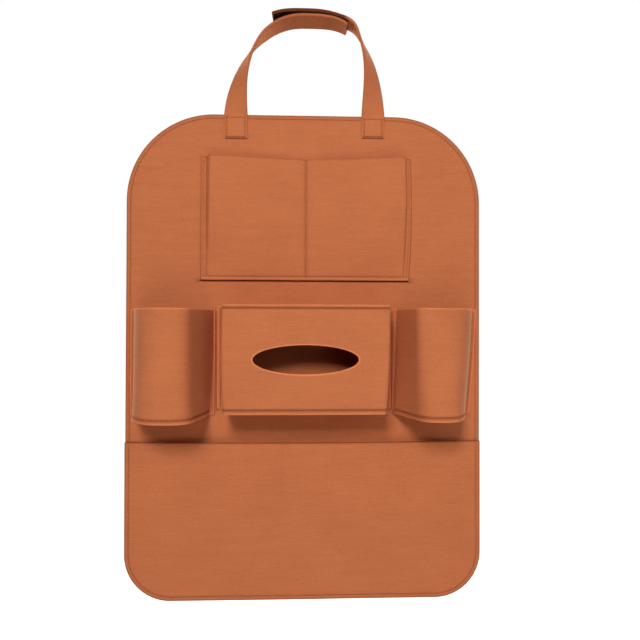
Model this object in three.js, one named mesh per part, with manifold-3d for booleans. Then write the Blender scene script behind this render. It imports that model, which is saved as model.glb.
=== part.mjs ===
// A car seat back organizer sewn from thick felt: a back panel with five pockets and a strap loop.
// Millimetres, +Z up, the front faces -Y. The origin is the middle of the back panel's rear face.

import * as THREE from "three";
import { mergeVertices } from "three/addons/utils/BufferGeometryUtils.js";
import Module from "manifold-3d";

// Felt
const FELT = 3; // thickness of every felt piece
const SEAM_GAP = 0.3; // between two pieces that are sewn together round a bend

// Back panel
const PANEL_WIDTH = 410;
const PANEL_HEIGHT = 560;
const PANEL_TOP_RADIUS = 101;
const PANEL_BOTTOM_RADIUS = 53;

// Upper pocket, one sheet with box-pleated sides, sewn down along its middle and its lower edge
const UPPER_WIDTH = 231; // across the front, outside
const UPPER_HEIGHT = 142.5;
const UPPER_X = 1; // its middle is this far to the right of the panel's
const UPPER_BELOW_PANEL_TOP = 50;
const UPPER_FLANGE = 5.5; // sewn strip on each side
const UPPER_STANDOFF = 10; // clear depth at the sides of the open top
const UPPER_CLOSED_BAND = 6; // sewn flat along the lower edge
const UPPER_SWELL_HEIGHT = 34; // over which the pocket reaches its full depth
const UPPER_DIP = 2.5; // how far the rim drops at the middle seam
const PLEAT_SLANT = 2.5; // a side wall leans in by this much
const UPPER_SWELL_POWER = 0.8; // how evenly the depth grows from the middle seam to a side

// Tissue pocket, which fills the width between the two bottle pockets
const TISSUE_HEIGHT = 118.5;
const TISSUE_DEPTH = 53; // from the panel to the outside of the front
const TISSUE_X = 1;
const TISSUE_BELOW_UPPER = 29.5;
const TISSUE_FLANGE = 8;
const TISSUE_TO_BOTTLE = 5; // bare panel between the flanges of neighbouring pockets
const OVAL_WIDTH = 114;
const OVAL_HEIGHT = 31.5;
const OVAL_BELOW_TOP = 59.5; // middle of the oval
const FLAP_TAB = 18; // the top flap's rear edge, turned down on the panel

// Bottle pockets, each a bent sheet with a D-shaped base
const BOTTLE_HEIGHT = 119.5;
const BOTTLE_WIDTH = 87.5; // between the outsides of the two side walls, at the panel
const BOTTLE_DEPTH = 75; // from the panel to the outside of the front
const BOTTLE_BELOW_TISSUE = 6; // its rim is this much lower than the tissue pocket's
const BOTTLE_FLANGE = 5;
const BOTTLE_TO_PANEL_EDGE = 3.5; // outer flange to the panel's edge
const BOTTLE_CROWN = 0.38; // share of the width, from the inner wall, where the front stands out furthest
const BOTTLE_INNER_LEAN = 8; // the inner wall leans outwards by this much
const BOTTLE_INNER_CORNER = 16; // height of the bend between the inner wall and the front
const BOTTLE_OUTER_LEAN = 4; // the outer wall leans inwards by this much at its knee
const BOTTLE_OUTER_KNEE = 27; // from the panel to that knee
const BOTTLE_OUTER_CORNER = 16; // how far the outer bend stays short of the wall along the front
const BEND_FULLNESS = 0.8; // how far the inner bend keeps to its two sides

// The rim with which a base or flap is sewn to its wrap
const SEAM_RIM = 4.5;

// Lower pocket, a sheet with the panel's own outline
const LOWER_BELOW_TISSUE = 38;
const LOWER_SEAM = 8; // sewn flat along the sides and the lower edge
const LOWER_GAPE = 8; // how far the middle of its rim stands off

// Straps and their hook-and-loop tapes
const STRAP_WIDTH = 27;
const STRAP_SPACING = 158; // between the middles of the two sewn ends
const STRAP_SEWN_LENGTH = 29;
const LOOP_HEIGHT = 109; // of the lower strap's centreline above the panel
const LOOP_SLENDER_POWER = 2.3; // shape of the arch where the lower strap rises
const LOOP_FULL_POWER = 3.1; // shape of the arch where the lower strap comes down
const LOOP_UPPER_POWER = 2.95; // shape of the upper strap's arch
const LOWER_STRAP_REACH = 48; // how far each strap runs on past the middle
const UPPER_STRAP_REACH = 38;
const STRAP_QUARTER_TURN = 89; // degrees that a strap has turned where the lap starts
const STRAP_CROWN_TILT = 6.5; // degrees more at the top of the loop
const STRAP_TURN_EASE = 0.64; // how early a strap makes its quarter turn
const LAP_HALF_LENGTH = 50; // along the strap, to either side of the top
const TAPE_THICKNESS = 1;
const HOOK_GAP = 0.8; // between the two tapes at the top of the loop, where hooks and loops meet
const TAPE_WIDTH = 26;
const TAPE_END_MARGIN = 2; // from a strap's end to its tape

// Smoothness
const CORNER_SEGMENTS = 10;
const BEND_SEGMENTS = 9;
const ARCH_STEP = 6;
const ARCH_SAMPLES = 400; // for lengths along an arch

// Worked out from the sizes above
const PANEL_FACE = -FELT;
const PANEL_TOP = PANEL_HEIGHT / 2;
const PANEL_BOTTOM = -PANEL_HEIGHT / 2;
const UPPER_TOP = PANEL_TOP - UPPER_BELOW_PANEL_TOP;
const UPPER_BOTTOM = UPPER_TOP - UPPER_HEIGHT;
const TISSUE_TOP = UPPER_BOTTOM - TISSUE_BELOW_UPPER;
const TISSUE_BOTTOM = TISSUE_TOP - TISSUE_HEIGHT;
const BOTTLE_TOP = TISSUE_TOP - BOTTLE_BELOW_TISSUE;
const BOTTLE_BOTTOM = BOTTLE_TOP - BOTTLE_HEIGHT;
const BOTTLE_OUTER_X = PANEL_WIDTH / 2 - BOTTLE_TO_PANEL_EDGE - BOTTLE_FLANGE;
const BOTTLE_INNER_X = BOTTLE_OUTER_X - BOTTLE_WIDTH;
const TISSUE_WIDTH = 2 * (BOTTLE_INNER_X - BOTTLE_FLANGE - TISSUE_TO_BOTTLE - TISSUE_FLANGE);
const TISSUE_INSIDE = TISSUE_WIDTH - 2 * FELT;
const LOWER_TOP = TISSUE_BOTTOM - LOWER_BELOW_TISSUE;
const CROWN_TILT = THREE.MathUtils.degToRad(STRAP_QUARTER_TURN + STRAP_CROWN_TILT - 90);
const LAP_OFFSET = (FELT + 2 * TAPE_THICKNESS + 2 * SEAM_GAP + HOOK_GAP) / Math.cos(CROWN_TILT);

const COLOURS = { felt: 0xb9683c, hookTape: 0x2e1710, loopTape: 0x3a2016 };

const wasm = await Module();
wasm.setup();

// Turns points and triangles into a closed body whose faces point out.
function closedGeometry(points, triangles) {
  const volume = triangles.reduce(
    (sum, [a, b, c]) => sum + points[a].dot(points[b].clone().cross(points[c])),
    0,
  );
  const index = volume < 0 ? triangles.map(([a, b, c]) => [a, c, b]) : triangles;
  return new THREE.BufferGeometry().setFromPoints(points).setIndex(index.flat());
}

// Joins two grids of points, the two faces of a sheet, into one closed sheet.
function sheetBetween(near, far) {
  const rows = near.length;
  const columns = near[0].length;
  const points = [...near.flat(), ...far.flat()];
  const at = (row, column, layer) => (layer * rows + row) * columns + column;
  const triangles = [];
  const quad = (a, b, c, d) => triangles.push([a, b, c], [a, c, d]);
  for (let r = 0; r < rows - 1; r++) {
    for (let c = 0; c < columns - 1; c++) {
      quad(at(r, c, 0), at(r, c + 1, 0), at(r + 1, c + 1, 0), at(r + 1, c, 0));
      quad(at(r, c, 1), at(r + 1, c, 1), at(r + 1, c + 1, 1), at(r, c + 1, 1));
    }
    const last = columns - 1;
    quad(at(r, 0, 0), at(r + 1, 0, 0), at(r + 1, 0, 1), at(r, 0, 1));
    quad(at(r + 1, last, 0), at(r, last, 0), at(r, last, 1), at(r + 1, last, 1));
  }
  for (let c = 0; c < columns - 1; c++) {
    const last = rows - 1;
    quad(at(0, c + 1, 0), at(0, c, 0), at(0, c, 1), at(0, c + 1, 1));
    quad(at(last, c, 0), at(last, c + 1, 0), at(last, c + 1, 1), at(last, c, 1));
  }
  return closedGeometry(points, triangles);
}

// Moves an open path sideways by a distance, to the right of its direction, with mitred corners.
function offsetPath(path, distance) {
  const normals = path.slice(1).map((point, i) => {
    const step = point.clone().sub(path[i]).normalize();
    return new THREE.Vector2(step.y, -step.x);
  });
  return path.map((point, i) => {
    const before = normals[Math.max(i - 1, 0)];
    const after = normals[Math.min(i, normals.length - 1)];
    const mitre = before.clone().add(after);
    return point.clone().addScaledVector(mitre, distance / (1 + before.dot(after)));
  });
}

// A folded sheet: at each height, one path in X and Y for the face towards the panel.
function foldedSheet(heights, pathAt) {
  const near = [];
  const far = [];
  for (const z of heights) {
    const path = pathAt(z);
    const raise = (p) => new THREE.Vector3(p.x, p.y, z);
    near.push(path.map(raise));
    far.push(offsetPath(path, FELT).map(raise));
  }
  return sheetBetween(near, far);
}

// A plate that is closed above, with a rim turned down all round. Each ring is an outline in X and Y.
function turnedDownTray(outerRing, innerRing, rimBottom, underside, top) {
  const levels = [
    [innerRing, underside],
    [innerRing, rimBottom],
    [outerRing, rimBottom],
    [outerRing, top],
  ];
  const points = levels.flatMap(([ring, z]) => ring.map((p) => new THREE.Vector3(p.x, p.y, z)));
  const count = outerRing.length;
  const triangles = [];
  for (let level = 0; level < levels.length - 1; level++) {
    for (let i = 0; i < count; i++) {
      const next = (i + 1) % count;
      const a = level * count + i;
      const b = level * count + next;
      triangles.push([a, b, b + count], [a, b + count, a + count]);
    }
  }
  const cap = THREE.ShapeUtils.triangulateShape(outerRing, []);
  const lid = (levels.length - 1) * count;
  const clockwise = THREE.ShapeUtils.isClockWise(outerRing);
  for (const [a, b, c] of clockwise ? cap.map(([a, b, c]) => [a, c, b]) : cap) {
    triangles.push([lid + a, lid + b, lid + c], [a, c, b]);
  }
  return closedGeometry(points, triangles);
}

function asManifold(geometry) {
  const bare = geometry.clone();
  bare.deleteAttribute("normal");
  bare.deleteAttribute("uv");
  const merged = mergeVertices(bare, 1e-4);
  return new wasm.Manifold(
    new wasm.Mesh({
      numProp: 3,
      vertProperties: new Float32Array(merged.attributes.position.array),
      triVerts: new Uint32Array(merged.index.array),
    }),
  );
}

function asGeometry(manifold) {
  const mesh = manifold.getMesh();
  return new THREE.BufferGeometry()
    .setAttribute("position", new THREE.BufferAttribute(mesh.vertProperties, 3))
    .setIndex(new THREE.BufferAttribute(mesh.triVerts, 1));
}

// An extruded outline drawn in X and Z, running forwards from the plane y = back.
function plate(shape, back, thickness) {
  const options = { depth: thickness, bevelEnabled: false, curveSegments: CORNER_SEGMENTS };
  return new THREE.ExtrudeGeometry(shape, options).rotateX(Math.PI / 2).translate(0, back, 0);
}

const smooth = (t) => THREE.MathUtils.smoothstep(t, 0, 1);

function steps(from, to, count) {
  return Array.from({ length: count + 1 }, (_, i) => THREE.MathUtils.lerp(from, to, i / count));
}

function backPanel() {
  const half = PANEL_WIDTH / 2;
  const top = PANEL_TOP_RADIUS;
  const low = PANEL_BOTTOM_RADIUS;
  const shape = new THREE.Shape();
  shape.moveTo(-half + low, PANEL_BOTTOM);
  shape.absarc(half - low, PANEL_BOTTOM + low, low, -Math.PI / 2, 0, false);
  shape.absarc(half - top, PANEL_TOP - top, top, 0, Math.PI / 2, false);
  shape.absarc(-half + top, PANEL_TOP - top, top, Math.PI / 2, Math.PI, false);
  shape.absarc(-half + low, PANEL_BOTTOM + low, low, Math.PI, 1.5 * Math.PI, false);
  return plate(shape, 0, FELT);
}

// Half the panel's width at a height in its lower part, where the corners are round.
function panelHalfWidth(z) {
  const inCorner = Math.max(0, PANEL_BOTTOM + PANEL_BOTTOM_RADIUS - z);
  const across = Math.sqrt(Math.max(0, PANEL_BOTTOM_RADIUS ** 2 - inCorner ** 2));
  return PANEL_WIDTH / 2 - PANEL_BOTTOM_RADIUS + across;
}

function lowerPocket() {
  const cornerRows = steps(0, Math.PI / 2, CORNER_SEGMENTS).map(
    (angle) => PANEL_BOTTOM + PANEL_BOTTOM_RADIUS * (1 - Math.cos(angle)),
  );
  const straightRows = steps(PANEL_BOTTOM + PANEL_BOTTOM_RADIUS, LOWER_TOP, CORNER_SEGMENTS);
  const heights = [...cornerRows, ...straightRows.slice(1)];
  const flat = PANEL_WIDTH / 2 - LOWER_SEAM;
  const seam = PANEL_BOTTOM + LOWER_SEAM;
  const standOff = (x, z) => {
    const across = Math.max(0, 1 - (x / flat) ** 2);
    const up = Math.max(0, (z - seam) / (LOWER_TOP - seam));
    return LOWER_GAPE * across * up ** 2;
  };
  const grid = (layer) =>
    heights.map((z) => {
      const half = panelHalfWidth(z);
      const reach = Math.min(half, flat);
      const columns = [-half, ...steps(-reach, reach, 2 * CORNER_SEGMENTS), half];
      if (reach === half) {
        columns[1] = THREE.MathUtils.lerp(columns[0], columns[2], 0.5);
        columns[columns.length - 2] = -columns[1];
      }
      return columns.map((x) => new THREE.Vector3(x, PANEL_FACE - layer - standOff(x, z), z));
    });
  return sheetBetween(grid(0), grid(FELT));
}

// The upper pocket's clear depth at a place, as a share across (0 at the middle seam, 1 at the side).
function upperStandOff(share, z) {
  const swell = smooth((z - UPPER_BOTTOM - UPPER_CLOSED_BAND) / UPPER_SWELL_HEIGHT);
  return UPPER_STANDOFF * swell * share ** UPPER_SWELL_POWER;
}

function upperPocket() {
  const wall = UPPER_WIDTH / 2 - FELT;
  const flangeEdge = wall + FELT + UPPER_FLANGE;
  const shares = steps(0, 1, CORNER_SEGMENTS);
  const halfPath = (z) => [
    ...shares.map((s) => new THREE.Vector2(s * (wall - PLEAT_SLANT), upperStandOff(s, z))),
    new THREE.Vector2(wall, 0),
    new THREE.Vector2(flangeEdge, 0),
  ];
  const pathAt = (z) => {
    const right = halfPath(z);
    const left = right.slice(1).reverse().map((p) => new THREE.Vector2(-p.x, p.y));
    return [...left, ...right].map((p) => new THREE.Vector2(p.x + UPPER_X, PANEL_FACE - p.y));
  };
  const swellTop = UPPER_BOTTOM + UPPER_CLOSED_BAND + UPPER_SWELL_HEIGHT;
  const heights = [
    UPPER_BOTTOM,
    ...steps(UPPER_BOTTOM + UPPER_CLOSED_BAND, swellTop, CORNER_SEGMENTS),
    ...steps(swellTop, UPPER_TOP, 3).slice(1),
  ];
  const geometry = foldedSheet(heights, pathAt);
  const position = geometry.attributes.position;
  for (let i = 0; i < position.count; i++) {
    const across = Math.min(1, Math.abs(position.getX(i) - UPPER_X) / wall);
    const up = Math.max(0, (position.getZ(i) - swellTop) / (UPPER_TOP - swellTop));
    position.setZ(i, position.getZ(i) - UPPER_DIP * (1 - across) * up);
  }
  return geometry;
}

// The wrap of the tissue pocket: flange, side, front, side and flange in one strip.
function tissueWrap() {
  const wall = TISSUE_INSIDE / 2;
  const flangeEdge = TISSUE_WIDTH / 2 + TISSUE_FLANGE;
  const front = PANEL_FACE - TISSUE_DEPTH + FELT;
  const path = [
    [-flangeEdge, PANEL_FACE],
    [-wall, PANEL_FACE],
    [-wall, front],
    [wall, front],
    [wall, PANEL_FACE],
    [flangeEdge, PANEL_FACE],
  ].map(([x, y]) => new THREE.Vector2(x + TISSUE_X, y));
  const strip = foldedSheet([TISSUE_BOTTOM, TISSUE_TOP], () => path);
  const oval = new THREE.Shape();
  const ovalMiddle = TISSUE_TOP - OVAL_BELOW_TOP;
  oval.absellipse(TISSUE_X, ovalMiddle, OVAL_WIDTH / 2, OVAL_HEIGHT / 2, 0, 2 * Math.PI);
  const punch = plate(oval, front + FELT, 3 * FELT);
  return asGeometry(asManifold(strip).subtract(asManifold(punch)));
}

function rectangle(halfWidth, back, front) {
  return [
    [-halfWidth, back],
    [halfWidth, back],
    [halfWidth, front],
    [-halfWidth, front],
  ].map(([x, y]) => new THREE.Vector2(x + TISSUE_X, y));
}

function tissueBase() {
  const half = TISSUE_INSIDE / 2 - SEAM_GAP;
  const front = PANEL_FACE - TISSUE_DEPTH + FELT + SEAM_GAP;
  const outer = rectangle(half, PANEL_FACE, front);
  const inner = rectangle(half - FELT, PANEL_FACE - FELT, front + FELT);
  const underside = TISSUE_BOTTOM + SEAM_RIM;
  return turnedDownTray(outer, inner, TISSUE_BOTTOM, underside, underside + FELT);
}

// The top flap: sewn to the front's upper edge, with a tab turned down on the panel behind the tapes.
function tissueFlap() {
  const half = TISSUE_INSIDE / 2 - SEAM_GAP;
  const front = PANEL_FACE - TISSUE_DEPTH + FELT + SEAM_GAP;
  const tabFace = PANEL_FACE - 2 * TAPE_THICKNESS;
  const level = TISSUE_TOP - SEAM_RIM;
  const path = [
    [tabFace, level - FLAP_TAB],
    [tabFace, level],
    [front + FELT, level],
    [front + FELT, TISSUE_TOP],
  ].map(([y, z]) => new THREE.Vector2(y, z));
  const other = offsetPath(path, -FELT);
  const place = (x, p) => new THREE.Vector3(x + TISSUE_X, p.x, p.y);
  const face = (line) => [-half, half].map((x) => line.map((p) => place(x, p)));
  return sheetBetween(face(path), face(other));
}

// A flat strip of tape across the tissue pocket's tab.
function flapTape(layer) {
  const width = TISSUE_INSIDE - 2 * FELT;
  const box = new THREE.BoxGeometry(width, TAPE_THICKNESS, FLAP_TAB - 2 * TAPE_END_MARGIN);
  const middle = TISSUE_TOP - SEAM_RIM - FLAP_TAB / 2;
  return box.translate(TISSUE_X, PANEL_FACE - (layer + 0.5) * TAPE_THICKNESS, middle);
}

// The bend of a bottle pocket's inner face, from its inner wall to its outer one, for the right-hand side.
function bottleBend() {
  const inner = BOTTLE_INNER_X + FELT;
  const outer = BOTTLE_OUTER_X - FELT;
  const depth = BOTTLE_DEPTH - FELT;
  const crown = new THREE.Vector2(THREE.MathUtils.lerp(inner, outer, BOTTLE_CROWN), depth);
  const start = new THREE.Vector2(inner, 0);
  const shoulder = new THREE.Vector2(inner + BOTTLE_INNER_LEAN, depth - BOTTLE_INNER_CORNER);
  const reach = (BOTTLE_INNER_CORNER * BEND_FULLNESS) / shoulder.y;
  const onWall = shoulder.clone().addScaledVector(shoulder.clone().sub(start), reach);
  const onFront = new THREE.Vector2(THREE.MathUtils.lerp(crown.x, shoulder.x, BEND_FULLNESS), depth);
  const bend = new THREE.Path();
  bend.moveTo(start.x, start.y);
  bend.lineTo(shoulder.x, shoulder.y);
  bend.bezierCurveTo(onWall.x, onWall.y, onFront.x, onFront.y, crown.x, crown.y);
  const farFront = outer - BOTTLE_OUTER_CORNER;
  bend.bezierCurveTo(farFront, depth, outer - BOTTLE_OUTER_LEAN, BOTTLE_OUTER_KNEE, outer, 0);
  return bend;
}

// The same bend as points for one side, in X and Y, in the order of rising X.
function bottlePath(side) {
  const points = bottleBend().getPoints(BEND_SEGMENTS);
  const placed = points.map((p) => new THREE.Vector2(side * p.x, PANEL_FACE - p.y));
  return side > 0 ? placed : placed.reverse();
}

function bottleWrap(side) {
  const bend = bottlePath(side);
  const edges = [side * (BOTTLE_INNER_X - BOTTLE_FLANGE), side * (BOTTLE_OUTER_X + BOTTLE_FLANGE)];
  const [left, right] = edges.sort((a, b) => a - b).map((x) => new THREE.Vector2(x, PANEL_FACE));
  const path = [left, ...bend, right];
  return foldedSheet([BOTTLE_BOTTOM, BOTTLE_TOP], () => path);
}

// The D-shaped base, with its rim inside the wrap and against the panel.
function bottleBase(side) {
  const ring = (inset) => {
    const line = offsetPath(bottlePath(side), -SEAM_GAP - inset);
    line[0].y = PANEL_FACE - inset;
    line[line.length - 1].y = PANEL_FACE - inset;
    return line;
  };
  const underside = BOTTLE_BOTTOM + SEAM_RIM;
  return turnedDownTray(ring(0), ring(FELT), BOTTLE_BOTTOM, underside, underside + FELT);
}

// The centreline of a strap above the panel, drawn for the strap that rises on the left.
class StrapArch extends THREE.Curve {
  constructor(rise, run, reach) {
    super();
    this.rise = rise; // { half, height, power } up to the top of the loop
    this.run = run; // the same past the top
    this.turn = Math.PI - Math.acos((reach / run.half) ** (run.power / 2));
  }

  getPoint(t, target = new THREE.Vector3()) {
    const angle = t * this.turn;
    const { half, height, power } = angle < Math.PI / 2 ? this.rise : this.run;
    const cosine = Math.cos(angle);
    const x = -half * Math.sign(cosine) * Math.abs(cosine) ** (2 / power);
    const z = height * Math.abs(Math.sin(angle)) ** (2 / power);
    return target.set(x, PANEL_FACE - FELT / 2, PANEL_TOP + z);
  }

  // The length of the strap up to the top of the loop.
  lengthToTop() {
    const lengths = this.getLengths(ARCH_SAMPLES);
    return lengths[Math.round((ARCH_SAMPLES * Math.PI) / 2 / this.turn)];
  }
}

// Degrees that a strap has turned from facing forwards, at a length along its arch.
function strapTurn(length, lengthToTop) {
  const lapStart = lengthToTop - LAP_HALF_LENGTH;
  const rising = Math.min(1, Math.max(0, length) / lapStart) ** STRAP_TURN_EASE;
  const fromTop = (length - lengthToTop) / LAP_HALF_LENGTH;
  return STRAP_QUARTER_TURN * rising + STRAP_CROWN_TILT * Math.max(0, 1 - fromTop ** 2);
}

// One place along a strap: its middle, the direction across it and the direction out of the loop.
function strapStation(arch, length) {
  const share = length / arch.getLength();
  const middle = arch.getPointAt(share);
  const along = arch.getTangentAt(share);
  const inward = new THREE.Vector3(along.z, 0, -along.x);
  const turn = THREE.MathUtils.degToRad(strapTurn(length, arch.lengthToTop()));
  const across = inward.multiplyScalar(Math.cos(turn)).add(new THREE.Vector3(0, -Math.sin(turn), 0));
  return { middle, across, outward: across.clone().cross(along) };
}

function sewnStations() {
  return [PANEL_TOP - STRAP_SEWN_LENGTH, PANEL_TOP].map((z) => ({
    middle: new THREE.Vector3(-STRAP_SPACING / 2, PANEL_FACE - FELT / 2, z),
    across: new THREE.Vector3(1, 0, 0),
    outward: new THREE.Vector3(0, -1, 0),
  }));
}

// A ribbon through stations, between two distances from the strap's middle layer.
function ribbon(stations, width, inside, outside, side) {
  const corner = ({ middle, across, outward }, sideways, out) => {
    const point = middle.clone().addScaledVector(across, sideways).addScaledVector(outward, out);
    return point.set(side * point.x, point.y, point.z);
  };
  const edges = [-width / 2, width / 2];
  const face = (out) => stations.map((station) => edges.map((edge) => corner(station, edge, out)));
  return sheetBetween(face(inside), face(outside));
}

function stationsBetween(arch, from, to) {
  return steps(from, to, Math.ceil((to - from) / ARCH_STEP)).map((length) => strapStation(arch, length));
}

// The strap that rises on the left runs below the other at the top of the loop.
const lowerArch = new StrapArch(
  { half: STRAP_SPACING / 2, height: LOOP_HEIGHT, power: LOOP_SLENDER_POWER },
  { half: STRAP_SPACING / 2 - LAP_OFFSET, height: LOOP_HEIGHT, power: LOOP_FULL_POWER },
  LOWER_STRAP_REACH,
);
const upperRise = { half: STRAP_SPACING / 2, height: LOOP_HEIGHT + LAP_OFFSET, power: LOOP_UPPER_POWER };
const upperArch = new StrapArch(upperRise, upperRise, UPPER_STRAP_REACH);

function strap(arch, side) {
  const free = stationsBetween(arch, 0, arch.getLength()).slice(1);
  return ribbon([...sewnStations(), ...free], STRAP_WIDTH, -FELT / 2, FELT / 2, side);
}

// The hook tape is under the upper strap and the loop tape is on top of the lower one.
function strapTape(arch, side, onOutside) {
  const start = arch.lengthToTop() - LAP_HALF_LENGTH + TAPE_END_MARGIN;
  const stations = stationsBetween(arch, start, arch.getLength() - TAPE_END_MARGIN);
  const near = FELT / 2 + SEAM_GAP;
  const layers = onOutside ? [near, near + TAPE_THICKNESS] : [-near - TAPE_THICKNESS, -near];
  return ribbon(stations, TAPE_WIDTH, layers[0], layers[1], side);
}

const group = new THREE.Group();

function add(name, geometry, colour) {
  const material = new THREE.MeshStandardMaterial({ color: colour, roughness: 0.95, metalness: 0 });
  const mesh = new THREE.Mesh(geometry, material);
  mesh.name = name;
  group.add(mesh);
}

add("back_panel", backPanel(), COLOURS.felt);
add("lower_pocket", lowerPocket(), COLOURS.felt);
add("upper_pocket", upperPocket(), COLOURS.felt);
add("tissue_pocket_wrap", tissueWrap(), COLOURS.felt);
add("tissue_pocket_base", tissueBase(), COLOURS.felt);
add("tissue_pocket_flap", tissueFlap(), COLOURS.felt);
add("flap_hook_tape", flapTape(1), COLOURS.hookTape);
add("flap_loop_tape", flapTape(0), COLOURS.loopTape);
for (const [hand, side] of [
  ["left", -1],
  ["right", 1],
]) {
  add(`bottle_pocket_wrap_${hand}`, bottleWrap(side), COLOURS.felt);
  add(`bottle_pocket_base_${hand}`, bottleBase(side), COLOURS.felt);
}
add("strap_left", strap(lowerArch, 1), COLOURS.felt);
add("strap_right", strap(upperArch, -1), COLOURS.felt);
add("strap_loop_tape", strapTape(lowerArch, 1, true), COLOURS.loopTape);
add("strap_hook_tape", strapTape(upperArch, -1, false), COLOURS.hookTape);

export default group;
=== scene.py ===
"""A car seat back organizer sewn from thick tan felt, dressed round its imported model.

Lengths are in metres in the model's own frame: +Z is up, the pockets face -Y, and the origin is
the middle of the panel's rear face. Each felt piece is cut flat as a pattern, whose coordinates are
kept as its UV map, and is then bent into the place that its solid holds.
"""

import logging
import math
from dataclasses import dataclass, field
from enum import Enum
from typing import Callable, Optional, Sequence

import bmesh
import bpy
import numpy as np
from mathutils import Matrix, Vector
from mathutils.geometry import delaunay_2d_cdt
from mathutils.kdtree import KDTree


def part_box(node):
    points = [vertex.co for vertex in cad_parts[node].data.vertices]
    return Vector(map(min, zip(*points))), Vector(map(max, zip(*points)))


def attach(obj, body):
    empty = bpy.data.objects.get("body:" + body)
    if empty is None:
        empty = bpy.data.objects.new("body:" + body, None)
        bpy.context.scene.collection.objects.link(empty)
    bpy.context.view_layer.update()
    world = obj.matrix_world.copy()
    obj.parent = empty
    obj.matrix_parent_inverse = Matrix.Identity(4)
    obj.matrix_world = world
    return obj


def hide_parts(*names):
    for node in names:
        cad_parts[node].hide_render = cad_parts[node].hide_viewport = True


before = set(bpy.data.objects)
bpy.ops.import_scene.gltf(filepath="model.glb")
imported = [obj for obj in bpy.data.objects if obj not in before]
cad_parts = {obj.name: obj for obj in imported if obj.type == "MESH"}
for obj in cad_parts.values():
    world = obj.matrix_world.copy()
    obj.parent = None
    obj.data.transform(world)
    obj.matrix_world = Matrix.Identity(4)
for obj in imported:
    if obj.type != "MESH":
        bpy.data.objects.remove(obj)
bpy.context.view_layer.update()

LOG = logging.getLogger("organizer")
Socket = bpy.types.NodeSocket
BODY = "root"
MM = 0.001
FELT = 3.0 * MM
HALF = FELT / 2
PANEL_FACE = -FELT
CLOTH_UV = "cloth"
# Painted shade or highlight along cut edges and round the hole, partly the cut felt's own tone
CUT_EDGE_SHADE = "cut_edge_shade"
# Darker pressed felt along seams, with painted shade in grooves, creases and gaps and a painted shadow
# line
PRESS_AND_SHADE = "pressed"
# Painted shade along the rim and cut edge of the panel and the lower pocket, partly the cut felt's tone
SHADED_RIM = {"rim_shading": 0.75, "edge_shading": 1.0}


class Slot(Enum):
    """The material slots."""

    FELT = "felt"
    HOOK = "hook_tape"
    LOOP = "loop_tape"


class Held(Enum):
    """How a sheet keeps its shape."""

    HUNG = "hung"
    FOLDED = "folded"
    STRETCHED = "stretched"


class Side(Enum):
    """The two bottle pockets, by the sign of their X."""

    LEFT = -1
    RIGHT = 1


def smooth_step(share: np.ndarray) -> np.ndarray:
    """Returns the share eased in and out between 0 and 1."""
    share = np.clip(share, 0.0, 1.0)
    return share * share * (3.0 - 2.0 * share)


def bell(distance: np.ndarray, width: float) -> np.ndarray:
    """Returns a bell curve that is 1 at no distance."""
    return np.exp(-((distance / width) ** 2))


def bow(share: np.ndarray, values: tuple[float, float, float]) -> np.ndarray:
    """Returns a parabola that has the three values at shares of 0, a half and 1."""
    first, middle, last = values
    rising = 4 * middle * share * (1 - share)
    return first * (1 - share) * (1 - 2 * share) + rising + last * share * (2 * share - 1)


def link(data: bpy.types.ID, name: str) -> bpy.types.Object:
    """Returns a new object for the data, linked to the scene."""
    made = bpy.data.objects.new(name, data)
    bpy.context.scene.collection.objects.link(made)
    return made


# Shader parts that several finishes share


def new_group(name: str, inputs: dict[str, float], outputs: dict[str, str]) -> bpy.types.NodeTree:
    """Makes an empty shader group with its sockets.

    Args:
        name: The group's name.
        inputs: The inputs' names and first values, all of them numbers.
        outputs: The outputs' names and socket types.

    Returns:
        The group's node tree.
    """
    tree = bpy.data.node_groups.new(name, "ShaderNodeTree")
    for label, value in inputs.items():
        socket = tree.interface.new_socket(label, in_out="INPUT", socket_type="NodeSocketFloat")
        socket.default_value = value
    for label, kind in outputs.items():
        tree.interface.new_socket(label, in_out="OUTPUT", socket_type=kind)
    return tree


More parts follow.
